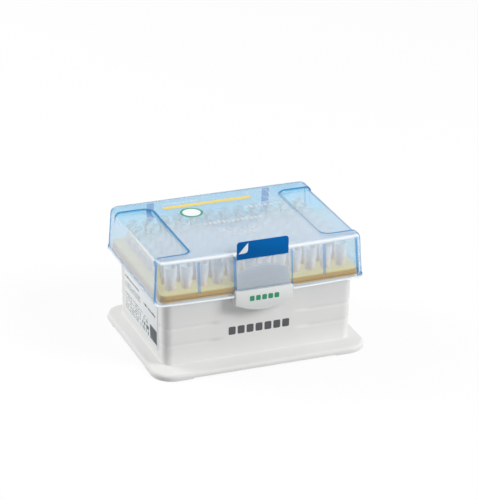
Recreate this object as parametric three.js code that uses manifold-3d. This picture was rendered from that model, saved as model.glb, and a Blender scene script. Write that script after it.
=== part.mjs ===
// Hinged box of 96 pipette tips: a footed tub, a tray that carries the tips on its rim, a clear
// bowed lid on two snap hinges, a rocking front latch, and the seal and label stuck on it.
// Millimetres, +Z up, front towards -Y. The origin is the middle of the foot, on its underside.

import * as THREE from 'three';
import { mergeVertices } from 'three/addons/utils/BufferGeometryUtils.js';
import Module from 'manifold-3d';

const wasm = await Module();
wasm.setup();

// ---------------------------------------------------------------- driving dimensions

const SEAT_GAP = 0.3;          // between pieces that rest on, or are stuck to, each other

// tip grid
const PITCH = 9;
const COLUMNS = 12;
const ROWS = 8;
const GRID_Y = -0.85;          // middle of the grid, in front of the middle of the foot
const LOOSE_ROWS = 2;          // front rows whose tips are pieces of their own

// tips
const TIP_HEAD = 12.55;        // from shoulder to mouth
const TIP_COLLAR = 6.15;       // from the step to the mouth
const TIP_SHANK = 40.1;        // below the shoulder
const TIP_MOUTH_R = 3.55;
const TIP_COLLAR_R = 3.38;
const TIP_NECK_R = 3.15;
const TIP_SHOULDER_R = 2.95;
const TIP_SHANK_R = 2.5;
const TIP_END_R = 0.55;
const TIP_BORE_R = 3.0;
const TIP_BORE_DEPTH = 4.85;   // straight part of the bore, which takes the pipette's cone
const TIP_THROAT_R = 2.1;
const TIP_THROAT_DEPTH = 12;
const TIP_ORIFICE_R = 0.25;
const TIP_SIDES = 8;
const FUSED_TIP_SIDES = 6;
const HOLE_CLEARANCE = 0.3;    // between a shank and its hole in the deck

// tub
const TUB_MARGIN_X = 5.8;      // from the outermost tip's axis to the outer face, at the rim
const TUB_MARGIN_Y = 6.9;
const TUB_WALL = 1.6;
const TUB_CORNER_R = 5;
const TUB_DRAFT_X = 0.5;       // lost on each side between rim and foot
const TUB_DRAFT_Y = 0.85;
const FLOOR_THICKNESS = 1.6;
const TIP_END_CLEARANCE = 5.8; // between the floor and the ends of the tips
const RIM_HEIGHT = 2;
const RIM_OVERHANG_X = 2.7;
const RIM_OVERHANG_FRONT = 2.1;
const RIM_OVERHANG_BACK = 4.2;
const RIM_CORNER_R = 4.5;
const FRONT_BOW = 0.85;        // sagitta of the rim's and the tray's front edge

// grip grooves round the tub's corners
const GROOVE_DEPTH = 0.4;
const GROOVE_HEIGHT = 3.4;
const GROOVE_LEVELS = [14.2, 24.3];
const GROOVE_GAP_HALF_X = 25.5;
const GROOVE_GAP_HALF_Y = 30;

// foot
const FOOT_REACH_X = 7.1;      // beyond the tub's outer face
const FOOT_REACH_Y = 10.4;
const FOOT_HEIGHT = 4.15;
const FOOT_CORNER_R = 12;
const FOOT_EDGE_HEIGHT = 1.6;
const FOOT_EDGE_R = 1.9;
const FOOT_CROWN_DROP = 0.65;  // fall of the top face from the wall to the rounded edge
const FOOT_WALL = 2.4;
const FOOT_SKIN = 1.5;
const FOOT_CLEAR = 0.6;        // height of the corner pads that it stands on
const PAD_GAP_HALF_X = 41.7;
const PAD_GAP_HALF_Y = 27.6;
const FOOT_RIB = 1.2;
const FOOT_RIB_SPACING = 18;

// tray
const TRAY_HEIGHT = 3.1;
const TRAY_DECK = 1.6;
const TRAY_WALL = 1.6;
const TRAY_EDGE_R = 0.9;
const TRAY_CORNER_R = 3.6;
const TRAY_INSET_X = 0.5;      // from the rim's edge
const TRAY_INSET_FRONT = 0.3;
const TRAY_INSET_BACK = 0.4;

// lid
const LID_WALL = 1.25;
const LID_GAP_X = 1.15;        // from the rim's edge to the lid's inner face, at the lid's lower edge
const LID_GAP_FRONT = 0.58;
const LID_GAP_BACK = 1.84;
const LID_HEADROOM = 5.5;      // above the tips
const LID_LOWER_EDGE = 0.05;   // above the rim's underside
const LID_DRAFT_X = 1.2;
const LID_DRAFT_FRONT = 1.9;
const LID_DRAFT_BACK = 1.44;
const LID_BOW = 2.1;
const LID_BOW_LOSS = 0.6;
const LID_CORNER_R = 4;
const LID_EDGE_R = 3;
const LIP_HEIGHT = 1.8;        // thicker lower edge
const LIP_PROUD = 0.25;
const RECESS_DEPTH = 1.45;     // low ends of the lid's top
const RECESS_FROM_X = 38.5;
const RECESS_HALF_Y = 32.5;
const RECESS_CORNER_R = 5;
const INNER_RIB_X = 36.4;
const INNER_RIB_WIDTH = 1.7;
const INNER_RIB_PROUD = 0.85;
const INNER_RIB_DROP = 1.4;    // from the lid's inner top to the rib's upper end
const INNER_RIB_BELOW_DECK = 1.2;

// catch panel on the lid's front
const PANEL_HALF_X = 16.7;
const PANEL_CHEEK = 1.5;
const PANEL_PROUD = 1.45;
const PANEL_RAISE = 4.45;      // of its lower edge above the lid's
const PANEL_DROP = 2.4;        // of its upper edge below the lid's top
const PANEL_NOTCH_MARGIN = 0.5;

// hinges
const HINGE_X = 34.8;
const HINGE_BEHIND_RIM = 2.8;
const HINGE_BELOW_RIM_TOP = 1.4;
const KNUCKLE_R = 2.2;
const KNUCKLE_WIDTH = 3.8;
const PEG_R = 1.3;
const PEG_LENGTH = 1.9;
const BORE_CLEARANCE = 0.3;
const CHEEK_R = 2.6;
const CHEEK_WIDTH = 1.8;
const CHEEK_GAP = 0.35;
const CHEEK_GUSSET = 8;
const POST_INSIDE = 1;         // how far a post stands inside the lid's back wall
const POST_GUSSET = 7;
const POST_DROP = 1;
const HINGE_NOTCH_MARGIN = 0.75;

// latch
const LATCH_HALF_X = 16.65;
const LATCH_PLATE = 1.3;
const LATCH_LIP = 1.4;
const LATCH_TONGUE = 1.3;
const LATCH_BELOW_PANEL = 1;   // gap between the lip and the panel
const LATCH_SIDE_HEIGHT = 8;
const LATCH_BELLY = 4.2;       // sagitta of the lip's lower edge
const LATCH_SHOULDER = 8.4;    // tongue's sides above the panel's lower edge
const LATCH_CROWN = 3.6;       // sagitta of the tongue's upper edge
const LATCH_FOLD_HEIGHT = 3.3;
const TONGUE_GAP = 0.4;
const TONGUE_LEAN = 0.112;     // run over rise
const LATCH_PLATE_DROP = 5.7;  // of the side plates below the rim
const PIVOT_BEFORE_RIM = 0.1;
const LATCH_RIM_GAP = 0.7;
const PIVOT_BELOW_RIM = 2.4;
const TRUNNION_R = 1;
const TRUNNION_LENGTH = 3;
const EAR_R = 2;
const EAR_WIDTH = 2;
const EAR_GAP = 0.8;

// seal across the panel
const FILM_THICKNESS = 0.3;
const FILM_FROM_X = -16.2;
const FILM_TO_X = 15;
const FILM_RAISE = 0.2;        // of its lower edge above the panel's
const TAB_THICKNESS = 0.4;
const TAB_FROM_X = -16.1;
const TAB_TO_X = 13.7;
const TAB_HEIGHT = 10.3;
const TAB_LAP = 2.6;          // of the film behind the tab, above the panel
const TAB_SINK = 0.5;          // of the tab's lower edge below the panel's top
const TAB_CORNER_R = 1.7;

// label on the left end
const LABEL_THICKNESS = 0.25;
const LABEL_HALF_Y = 27.7;
const LABEL_HEIGHT = 26;
const LABEL_RAISE = 9;
const LABEL_CORNER_R = 1;

// facets
const CORNER_STEPS = 5;
const BOW_STEPS = 8;
const FILLET_STEPS = 4;
const ARC_STEPS = 8;
const HUB_SIDES = 16;
const CUT = 1;                 // how far a cutter reaches past the face that it cuts

// ---------------------------------------------------------------- sizes that follow

const GRID_HALF_X = (COLUMNS - 1) * PITCH / 2;
const GRID_HALF_Y = (ROWS - 1) * PITCH / 2;

const FLOOR_TOP = FOOT_CLEAR + FLOOR_THICKNESS;
const TIP_END_Z = FLOOR_TOP + TIP_END_CLEARANCE;
const SHOULDER_Z = TIP_END_Z + TIP_SHANK;
const DECK_Z = SHOULDER_Z - SEAT_GAP;
const MOUTH_Z = SHOULDER_Z + TIP_HEAD;
const RIM_TOP = DECK_Z - TRAY_HEIGHT - SEAT_GAP;
const RIM_BOTTOM = RIM_TOP - RIM_HEIGHT;

const TUB_HALF_X = GRID_HALF_X + TUB_MARGIN_X;
const TUB_HALF_Y = GRID_HALF_Y + TUB_MARGIN_Y;
const RIM = {
  halfX: TUB_HALF_X + RIM_OVERHANG_X,
  front: TUB_HALF_Y + RIM_OVERHANG_FRONT,
  back: TUB_HALF_Y + RIM_OVERHANG_BACK,
  radius: RIM_CORNER_R,
  bow: FRONT_BOW,
};
const FOOT = {
  halfX: TUB_HALF_X + FOOT_REACH_X,
  front: TUB_HALF_Y + FOOT_REACH_Y,
  back: TUB_HALF_Y + FOOT_REACH_Y,
  radius: FOOT_CORNER_R,
  bow: 0,
};
const TRAY = {
  halfX: RIM.halfX - TRAY_INSET_X,
  front: RIM.front - TRAY_INSET_FRONT,
  back: RIM.back - TRAY_INSET_BACK,
  radius: TRAY_CORNER_R,
  bow: FRONT_BOW,
};

const LID_BOTTOM = RIM_BOTTOM + LID_LOWER_EDGE;
const LID_TOP = MOUTH_Z + LID_HEADROOM + LID_WALL;
const PANEL_BOTTOM = LID_BOTTOM + PANEL_RAISE;
const PANEL_TOP = LID_TOP - PANEL_DROP;
const HINGE_Y = RIM.back + HINGE_BEHIND_RIM;
const HINGE_Z = RIM_TOP - HINGE_BELOW_RIM_TOP;
const HINGE_NOTCH_TOP = HINGE_Z + CHEEK_R + HINGE_NOTCH_MARGIN;
const PIVOT_Y = -(RIM.front + RIM.bow + PIVOT_BEFORE_RIM);
const PIVOT_Z = RIM_BOTTOM - PIVOT_BELOW_RIM;

// ---------------------------------------------------------------- geometry helpers

/** Corner points of a quarter turn, from angle start, round (x, y). */
function cornerArc(x, y, radius, start, steps) {
  const points = [];
  for (let i = 0; i <= steps; i += 1) {
    const angle = start + (Math.PI / 2) * (i / steps);
    points.push(new THREE.Vector2(x + radius * Math.cos(angle), y + radius * Math.sin(angle)));
  }
  return points;
}

/** Plan outline, counter-clockwise: a rounded rectangle whose front edge bows outwards. */
function planOutline({ halfX, front, back, radius, bow }, inset = 0) {
  const x = halfX - inset;
  const r = Math.max(radius - inset, 0.5);
  const yFront = -front + inset;
  const yBack = back - inset;
  const points = [];
  points.push(...cornerArc(x - r, yBack - r, r, 0, CORNER_STEPS));
  points.push(...cornerArc(r - x, yBack - r, r, Math.PI / 2, CORNER_STEPS));
  points.push(...cornerArc(r - x, yFront + r, r, Math.PI, CORNER_STEPS));
  const bowSteps = bow > 0 ? BOW_STEPS : 1;
  for (let i = 1; i < bowSteps; i += 1) {
    points.push(new THREE.Vector2((x - r) * (2 * i / bowSteps - 1), yFront));
  }
  points.push(...cornerArc(x - r, yFront + r, r, 1.5 * Math.PI, CORNER_STEPS));
  for (const point of points) {
    if (point.y < 0) {
      point.y -= bow * (1 - (point.x / x) ** 2);
    }
  }
  return points;
}

/** Closed solid through horizontal sections [{ z, points }] that have equally many points. */
function loft(sections) {
  const count = sections[0].points.length;
  const positions = [];
  const triangles = [];
  for (const { z, points } of sections) {
    for (const point of points) {
      positions.push(point.x, point.y, z);
    }
  }
  for (let s = 0; s < sections.length - 1; s += 1) {
    for (let i = 0; i < count; i += 1) {
      const next = (i + 1) % count;
      const low = s * count;
      const high = low + count;
      triangles.push(low + i, low + next, high + next);
      triangles.push(low + i, high + next, high + i);
    }
  }
  const last = (sections.length - 1) * count;
  for (const [a, b, c] of THREE.ShapeUtils.triangulateShape(sections[0].points, [])) {
    triangles.push(a, c, b);
  }
  for (const [a, b, c] of THREE.ShapeUtils.triangulateShape(sections.at(-1).points, [])) {
    triangles.push(last + a, last + b, last + c);
  }
  const geometry = new THREE.BufferGeometry();
  geometry.setAttribute('position', new THREE.Float32BufferAttribute(positions, 3));
  geometry.setIndex(triangles);
  return solid(geometry);
}

/** Straight prism of one plan between two heights. */
function plate(plan, zLow, zHigh, inset = 0) {
  const points = planOutline(plan, inset);
  return loft([{ z: zLow, points }, { z: zHigh, points }]);
}

/** Closed three.js geometry to a solid that can be joined and cut. */
function solid(geometry) {
  const bare = geometry.clone();
  bare.deleteAttribute('normal');
  bare.deleteAttribute('uv');
  const merged = mergeVertices(bare, 1e-5);
  return new wasm.Manifold(new wasm.Mesh({
    numProp: 3,
    vertProperties: new Float32Array(merged.attributes.position.array),
    triVerts: new Uint32Array(merged.index.array),
  }));
}

/** Solid back to a three.js geometry. */
function geometryOf(body) {
  const mesh = body.getMesh();
  const geometry = new THREE.BufferGeometry();
  geometry.setAttribute('position', new THREE.Float32BufferAttribute(mesh.vertProperties, 3));
  geometry.setIndex(new THREE.Uint32BufferAttribute(mesh.triVerts, 1));
  geometry.computeVertexNormals();
  return geometry;
}

function join(bodies) {
  return bodies.reduce((whole, body) => whole.add(body));
}

function cut(body, cutters) {
  return cutters.reduce((rest, cutter) => rest.subtract(cutter), body);
}

/** Axis-aligned block from its two extreme corners. */
function block([x0, y0, z0], [x1, y1, z1]) {
  const geometry = new THREE.BoxGeometry(x1 - x0, y1 - y0, z1 - z0);
  geometry.translate((x0 + x1) / 2, (y0 + y1) / 2, (z0 + z1) / 2);
  return solid(geometry);
}

/** Prism of a side profile, points (y, z), between two values of x. */
function sideProfile(points, x0, x1) {
  const shape = new THREE.Shape(points.map(([y, z]) => new THREE.Vector2(y, z)));
  const geometry = new THREE.ExtrudeGeometry(shape, { depth: x1 - x0, bevelEnabled: false });
  const turn = new THREE.Matrix4().makeBasis(
    new THREE.Vector3(0, 1, 0),
    new THREE.Vector3(0, 0, 1),
    new THREE.Vector3(1, 0, 0),
  );
  geometry.applyMatrix4(turn);
  geometry.translate(x0, 0, 0);
  return solid(geometry);
}

/** Prism of a front profile, a THREE.Shape in (x, z), from y0 to the smaller y1. */
function frontProfile(shape, y0, y1) {
  const options = { depth: y0 - y1, bevelEnabled: false, curveSegments: ARC_STEPS };
  const geometry = new THREE.ExtrudeGeometry(shape, options);
  const turn = new THREE.Matrix4().makeBasis(
    new THREE.Vector3(1, 0, 0),
    new THREE.Vector3(0, 0, 1),
    new THREE.Vector3(0, -1, 0),
  );
  geometry.applyMatrix4(turn);
  geometry.translate(0, y0, 0);
  return solid(geometry);
}

/** Round bar along X between two values of x, with its axis at (y, z). */
function barAlongX(radius, x0, x1, y, z) {
  const geometry = new THREE.CylinderGeometry(radius, radius, x1 - x0, HUB_SIDES);
  geometry.rotateZ(Math.PI / 2);
  geometry.translate((x0 + x1) / 2, y, z);
  return solid(geometry);
}

/** The same piece on the right and, mirrored in x, on the left. */
function onBothSides(make) {
  const right = make();
  return [right, right.mirror([1, 0, 0])];
}

/** Arc through z low at x = -halfX and halfX and z low + rise in the middle, left to right. */
function crownPoints(halfX, low, rise) {
  const points = [];
  for (let i = 0; i <= 2 * ARC_STEPS; i += 1) {
    const x = halfX * (i / ARC_STEPS - 1);
    points.push(new THREE.Vector2(x, low + rise * (1 - (x / halfX) ** 2)));
  }
  return points;
}

// ---------------------------------------------------------------- tub

/** Tub plan at a height: the walls lean in towards the foot. */
function tubPlan(z) {
  const fall = (RIM_BOTTOM - z) / (RIM_BOTTOM - FOOT_HEIGHT);
  return {
    halfX: TUB_HALF_X - TUB_DRAFT_X * fall,
    front: TUB_HALF_Y - TUB_DRAFT_Y * fall,
    back: TUB_HALF_Y - TUB_DRAFT_Y * fall,
    radius: TUB_CORNER_R,
    bow: 0,
  };
}

function tubBlock(zLow, zHigh, inset) {
  return loft([zLow, zHigh].map((z) => ({ z, points: planOutline(tubPlan(z), inset) })));
}

/** Foot: upright edge, rounded shoulder, then a slightly falling top that meets the wall. */
function footSkirt() {
  const sections = [{ z: 0, points: planOutline(FOOT) }];
  for (let i = 0; i <= FILLET_STEPS; i += 1) {
    const angle = (Math.PI / 2) * (i / FILLET_STEPS);
    const rise = (FOOT_HEIGHT - FOOT_CROWN_DROP - FOOT_EDGE_HEIGHT) * Math.sin(angle);
    const inset = FOOT_EDGE_R * (1 - Math.cos(angle));
    sections.push({ z: FOOT_EDGE_HEIGHT + rise, points: planOutline(FOOT, inset) });
  }
  sections.push({ z: FOOT_HEIGHT, points: planOutline(tubPlan(FOOT_HEIGHT), TUB_WALL / 2) });
  return loft(sections);
}

/** Hollow under the foot between its edge and the tub, with short ribs left across it. */
function footGroove() {
  const roof = FOOT_HEIGHT - FOOT_CROWN_DROP - FOOT_SKIN;
  const ring = plate(FOOT, -CUT, roof, FOOT_WALL).subtract(tubBlock(-2 * CUT, FOOT_HEIGHT, 0));
  const ribs = [];
  const span = { x: FOOT.halfX, y: FOOT.front };
  for (let x = -FOOT_RIB_SPACING * 3; x <= FOOT_RIB_SPACING * 3; x += FOOT_RIB_SPACING) {
    ribs.push(block([x - FOOT_RIB / 2, -span.y, FOOT_CLEAR], [x + FOOT_RIB / 2, span.y, roof + CUT]));
  }
  for (let y = -FOOT_RIB_SPACING; y <= FOOT_RIB_SPACING; y += FOOT_RIB_SPACING) {
    ribs.push(block([-span.x, y - FOOT_RIB / 2, FOOT_CLEAR], [span.x, y + FOOT_RIB / 2, roof + CUT]));
  }
  return cut(ring, ribs);
}

/** Clearance under the foot that leaves a pad at each corner. */
function padCuts() {
  const { halfX, front } = FOOT;
  return [
    plate(FOOT, -CUT, FOOT_CLEAR, FOOT_WALL),
    block([-PAD_GAP_HALF_X, -front - CUT, -CUT], [PAD_GAP_HALF_X, front + CUT, FOOT_CLEAR]),
    block([-halfX - CUT, -PAD_GAP_HALF_Y, -CUT], [halfX + CUT, PAD_GAP_HALF_Y, FOOT_CLEAR]),
  ];
}

/** Cutter for one grip groove, in four pieces that wrap the corners; its edges slope at 45 degrees. */
function gripGroove(zLow) {
  const zHigh = zLow + GROOVE_HEIGHT;
  const section = (z, inset) => ({ z, points: planOutline(tubPlan(z), inset) });
  const around = loft([
    section(zLow - GROOVE_DEPTH, -2 * GROOVE_DEPTH),
    section(zHigh + GROOVE_DEPTH, -2 * GROOVE_DEPTH),
  ]);
  const core = loft([
    section(zLow - GROOVE_DEPTH, -GROOVE_DEPTH),
    section(zLow + GROOVE_DEPTH, GROOVE_DEPTH),
    section(zHigh - GROOVE_DEPTH, GROOVE_DEPTH),
    section(zHigh + GROOVE_DEPTH, -GROOVE_DEPTH),
  ]);
  const far = FOOT.halfX + FOOT.front;
  const low = zLow - GROOVE_HEIGHT;
  const high = zHigh + GROOVE_HEIGHT;
  return cut(around, [
    core,
    block([-GROOVE_GAP_HALF_X, -far, low], [GROOVE_GAP_HALF_X, far, high]),
    block([-far, -GROOVE_GAP_HALF_Y, low], [far, GROOVE_GAP_HALF_Y, high]),
  ]);
}

/** Ear on the tub's front, bored for one of the latch's trunnions. */
function latchEar() {
  const x1 = LATCH_HALF_X - LATCH_PLATE - EAR_GAP;
  const x0 = x1 - EAR_WIDTH;
  const inWall = -TUB_HALF_Y + TUB_WALL / 2;
  const web = block([x0, PIVOT_Y, PIVOT_Z - EAR_R], [x1, inWall, PIVOT_Z + EAR_R]);
  return web.add(barAlongX(EAR_R, x0, x1, PIVOT_Y, PIVOT_Z));
}

/** Pair of hinge cheeks with gussets down the tub's back wall, without their bore. */
function hingeCheeks() {
  const cheeks = [];
  const inWall = TUB_HALF_Y - TUB_WALL / 2;
  const web = [
    [inWall, RIM_TOP - SEAT_GAP],
    [inWall, HINGE_Z - CHEEK_R - CHEEK_GUSSET],
    [HINGE_Y, HINGE_Z - CHEEK_R],
    [HINGE_Y, RIM_TOP - SEAT_GAP],
  ];
  for (const side of [-1, 1]) {
    const middle = HINGE_X + side * (KNUCKLE_WIDTH / 2 + CHEEK_GAP + CHEEK_WIDTH / 2);
    const x0 = middle - CHEEK_WIDTH / 2;
    const x1 = middle + CHEEK_WIDTH / 2;
    cheeks.push(sideProfile(web, x0, x1), barAlongX(CHEEK_R, x0, x1, HINGE_Y, HINGE_Z));
  }
  return join(cheeks);
}

function baseTub() {
  const outside = join([
    footSkirt(),
    tubBlock(FOOT_CLEAR, RIM_BOTTOM, 0),
    plate(RIM, RIM_BOTTOM, RIM_TOP),
    ...onBothSides(latchEar),
    ...onBothSides(hingeCheeks),
  ]);
  const trunnionBore = TRUNNION_R + BORE_CLEARANCE;
  const pegBore = PEG_R + BORE_CLEARANCE;
  const pegFrom = HINGE_X - KNUCKLE_WIDTH - CHEEK_WIDTH;
  const pegTo = HINGE_X + KNUCKLE_WIDTH + CHEEK_WIDTH;
  return cut(outside, [
    tubBlock(FLOOR_TOP, RIM_TOP + CUT, TUB_WALL),
    footGroove(),
    ...GROOVE_LEVELS.map(gripGroove),
    ...padCuts(),
    barAlongX(trunnionBore, -LATCH_HALF_X, LATCH_HALF_X, PIVOT_Y, PIVOT_Z),
    ...onBothSides(() => barAlongX(pegBore, pegFrom, pegTo, HINGE_Y, HINGE_Z)),
  ]);
}

// ---------------------------------------------------------------- tips and tray

/** Lathe geometry about +Z from profile points (radius, height). */
function turned(profile, sides) {
  const points = profile.map(([radius, height]) => new THREE.Vector2(radius, height));
  const geometry = new THREE.LatheGeometry(points, sides);
  geometry.rotateX(Math.PI / 2);
  return geometry;
}

/** Loose tip, a tube open at both ends. Its origin is on its axis, level with the shoulder. */
function looseTip() {
  const geometry = turned([
    [TIP_ORIFICE_R, -TIP_SHANK],
    [TIP_END_R, -TIP_SHANK],
    [TIP_SHANK_R, 0],
    [TIP_SHOULDER_R, 0],
    [TIP_NECK_R, TIP_HEAD - TIP_COLLAR],
    [TIP_COLLAR_R, TIP_HEAD - TIP_COLLAR],
    [TIP_MOUTH_R, TIP_HEAD],
    [TIP_BORE_R, TIP_HEAD],
    [TIP_BORE_R, TIP_HEAD - TIP_BORE_DEPTH],
    [TIP_THROAT_R, TIP_HEAD - TIP_THROAT_DEPTH],
    [TIP_ORIFICE_R, -TIP_SHANK],
  ], TIP_SIDES);
  return solid(geometry);
}

/** Tip that is one with the deck: the same outside, with a blind conical bore. */
function fusedTip() {
  const geometry = turned([
    [0, -TIP_SHANK],
    [TIP_SHANK_R, -SEAT_GAP - TRAY_DECK / 2],
    [TIP_SHOULDER_R, -SEAT_GAP - TRAY_DECK / 2],
    [TIP_NECK_R, TIP_HEAD - TIP_COLLAR],
    [TIP_COLLAR_R, TIP_HEAD - TIP_COLLAR],
    [TIP_MOUTH_R, TIP_HEAD],
    [TIP_BORE_R, TIP_HEAD],
    [0, TIP_HEAD - TIP_THROAT_DEPTH],
  ], FUSED_TIP_SIDES);
  return solid(geometry);
}

/** Where each tip stands: rows lettered from the back, columns numbered from the left. */
function tipPlaces() {
  const places = [];
  for (let row = 0; row < ROWS; row += 1) {
    for (let column = 0; column < COLUMNS; column += 1) {
      places.push({
        name: `tip_${String.fromCharCode(65 + row)}${String(column + 1).padStart(2, '0')}`,
        loose: row >= ROWS - LOOSE_ROWS,
        x: column * PITCH - GRID_HALF_X,
        y: GRID_Y + GRID_HALF_Y - row * PITCH,
      });
    }
  }
  return places;
}

function tipTray() {
  const bottom = DECK_Z - TRAY_HEIGHT;
  const sections = [
    { z: bottom, points: planOutline(TRAY) },
    { z: DECK_Z - TRAY_EDGE_R, points: planOutline(TRAY) },
  ];
  for (let i = 1; i <= 3; i += 1) {
    const angle = (Math.PI / 2) * (i / 3);
    const inset = TRAY_EDGE_R * (1 - Math.cos(angle));
    const z = DECK_Z - TRAY_EDGE_R * (1 - Math.sin(angle));
    sections.push({ z, points: planOutline(TRAY, inset) });
  }
  const hollow = plate(TRAY, bottom - CUT, DECK_Z - TRAY_DECK, TRAY_WALL);
  const holeR = TIP_SHANK_R + HOLE_CLEARANCE;
  const hole = solid(turned([
    [0, DECK_Z - TRAY_DECK - CUT],
    [holeR, DECK_Z - TRAY_DECK - CUT],
    [holeR, DECK_Z + CUT],
    [0, DECK_Z + CUT],
  ], TIP_SIDES));
  const places = tipPlaces();
  const holes = places.filter((place) => place.loose).map(({ x, y }) => hole.translate([x, y, 0]));
  const deck = cut(loft(sections), [hollow, join(holes)]);
  const tip = fusedTip();
  const fused = places.filter((place) => !place.loose);
  return deck.add(join(fused.map(({ x, y }) => tip.translate([x, y, SHOULDER_Z]))));
}

// ---------------------------------------------------------------- lid

/** Lid plan at a height: the walls lean in, and the front bows less, towards the top. */
function lidPlan(z) {
  const rise = (z - LID_BOTTOM) / (LID_TOP - LID_BOTTOM);
  return {
    halfX: RIM.halfX + LID_GAP_X + LID_WALL - LID_DRAFT_X * rise,
    front: RIM.front + LID_GAP_FRONT + LID_WALL - LID_DRAFT_FRONT * rise,
    back: RIM.back + LID_GAP_BACK + LID_WALL - LID_DRAFT_BACK * rise,
    radius: LID_CORNER_R,
    bow: LID_BOW - LID_BOW_LOSS * rise,
  };
}

/** Outer y of the lid's front wall in the middle, at a height. */
function lidFrontY(z) {
  const { front, bow } = lidPlan(z);
  return -(front + bow - LIP_PROUD);
}

/** Lid-shaped block up to a top height, moved inwards by a wall thickness. */
function lidBlock(top, wall) {
  const radius = LID_EDGE_R - wall;
  const shoulder = top - LID_EDGE_R;
  const inset = LIP_PROUD + wall;
  const sections = [];
  const section = (z, planZ, by) => sections.push({ z, points: planOutline(lidPlan(planZ), by) });
  if (wall === 0) {
    section(LID_BOTTOM, LID_BOTTOM, 0);
    section(LID_BOTTOM + LIP_HEIGHT - LIP_PROUD, LID_BOTTOM + LIP_HEIGHT, 0);
    section(LID_BOTTOM + LIP_HEIGHT, LID_BOTTOM + LIP_HEIGHT, inset);
  } else {
    section(LID_BOTTOM - CUT, LID_BOTTOM, inset);
  }
  for (let i = 0; i <= FILLET_STEPS; i += 1) {
    const angle = (Math.PI / 2) * (i / FILLET_STEPS);
    const z = shoulder + radius * Math.sin(angle);
    section(z, z, inset + radius * (1 - Math.cos(angle)));
  }
  return loft(sections);
}

/** Low end of the lid's top, as a cutter that runs out through the side. */
function recessCutter(grow) {
  const from = RECESS_FROM_X - grow;
  const half = RECESS_HALF_Y + grow;
  const radius = RECESS_CORNER_R + grow;
  const to = lidPlan(LID_BOTTOM).halfX + CUT;
  const points = [
    new THREE.Vector2(to, -half),
    new THREE.Vector2(to, half),
    ...cornerArc(from + radius, half - radius, radius, Math.PI / 2, CORNER_STEPS),
    ...cornerArc(from + radius, radius - half, radius, Math.PI, CORNER_STEPS),
  ];
  const low = LID_TOP - 2 * LID_EDGE_R;
  return loft([{ z: low, points }, { z: LID_TOP + CUT, points }]);
}

/** Full lid form, outside (wall 0) or inside: high middle, low ends. */
function lidForm(wall) {
  const high = lidBlock(LID_TOP, wall);
  const low = lidBlock(LID_TOP - RECESS_DEPTH, wall);
  return cut(high, onBothSides(() => recessCutter(wall))).add(low);
}

/** Panel in front of the latch's tongue, still filled. */
function catchPanel() {
  const profile = [
    [lidFrontY(PANEL_BOTTOM) - PANEL_PROUD, PANEL_BOTTOM],
    [lidFrontY(PANEL_BOTTOM) + LID_WALL / 2, PANEL_BOTTOM],
    [lidFrontY(LID_TOP) + LID_EDGE_R / 2, PANEL_TOP + PANEL_PROUD],
    [lidFrontY(PANEL_TOP) - PANEL_PROUD, PANEL_TOP],
  ];
  return sideProfile(profile, -PANEL_HALF_X, PANEL_HALF_X);
}

/** Hollow behind the panel, which takes the tongue. */
function catchPocket() {
  const half = PANEL_HALF_X - PANEL_CHEEK;
  const top = PANEL_TOP - LID_WALL;
  const face = LID_WALL - PANEL_PROUD;
  const behind = lidFrontY(LID_TOP) + LID_EDGE_R;
  const profile = [
    [lidFrontY(PANEL_BOTTOM) + face, PANEL_BOTTOM - CUT],
    [behind, PANEL_BOTTOM - CUT],
    [behind, top],
    [lidFrontY(top) + face, top],
  ];
  return sideProfile(profile, -half, half);
}

/** Upright rib on the inside of the lid's front wall, round at its lower end. */
function innerRib() {
  const { front, halfX } = lidPlan(LID_BOTTOM);
  const bowHere = (z) => lidPlan(z).bow * (1 - (INNER_RIB_X / halfX) ** 2);
  const wallFace = (z) => LIP_PROUD + LID_WALL - lidPlan(z).front - bowHere(z);
  const low = DECK_Z - INNER_RIB_BELOW_DECK;
  const high = LID_TOP - LID_WALL - INNER_RIB_DROP;
  const profile = [
    [-front, low],
    [wallFace(low), low],
    [wallFace(low) + INNER_RIB_PROUD, low + INNER_RIB_WIDTH / 2],
    [wallFace(high) + INNER_RIB_PROUD, high],
    [wallFace(high), high + INNER_RIB_PROUD],
    [-front, high + INNER_RIB_PROUD],
  ];
  return sideProfile(profile, INNER_RIB_X - INNER_RIB_WIDTH / 2, INNER_RIB_X + INNER_RIB_WIDTH / 2);
}

/** Outer y of the lid's back wall at a height. */
function lidBackY(z) {
  return lidPlan(z).back - LIP_PROUD;
}

/** Post on the lid's back wall that runs down into a hinge knuckle with a peg on each side. */
function hingePost() {
  const x0 = HINGE_X - KNUCKLE_WIDTH / 2;
  const x1 = HINGE_X + KNUCKLE_WIDTH / 2;
  const top = LID_TOP - LID_WALL - POST_DROP;
  const gussetTop = HINGE_Z + POST_GUSSET;
  const inside = (z) => lidBackY(z) - LID_WALL - POST_INSIDE;
  const profile = [
    [HINGE_Y - KNUCKLE_R, HINGE_Z],
    [HINGE_Y + KNUCKLE_R, HINGE_Z],
    [lidBackY(gussetTop), gussetTop],
    [lidBackY(top), top],
    [inside(top), top],
    [inside(HINGE_NOTCH_TOP), HINGE_NOTCH_TOP],
  ];
  return join([
    sideProfile(profile, x0, x1),
    barAlongX(KNUCKLE_R, x0, x1, HINGE_Y, HINGE_Z),
    barAlongX(PEG_R, x0 - PEG_LENGTH, x1 + PEG_LENGTH, HINGE_Y, HINGE_Z),
  ]);
}

/** Opening in the lid's back wall round one hinge. */
function hingeNotch() {
  const half = KNUCKLE_WIDTH / 2 + CHEEK_GAP + CHEEK_WIDTH + HINGE_NOTCH_MARGIN;
  const back = lidPlan(LID_BOTTOM).back;
  return block(
    [HINGE_X - half, back - 2 * LID_WALL, LID_BOTTOM - CUT],
    [HINGE_X + half, back + CUT, HINGE_NOTCH_TOP],
  );
}

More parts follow.
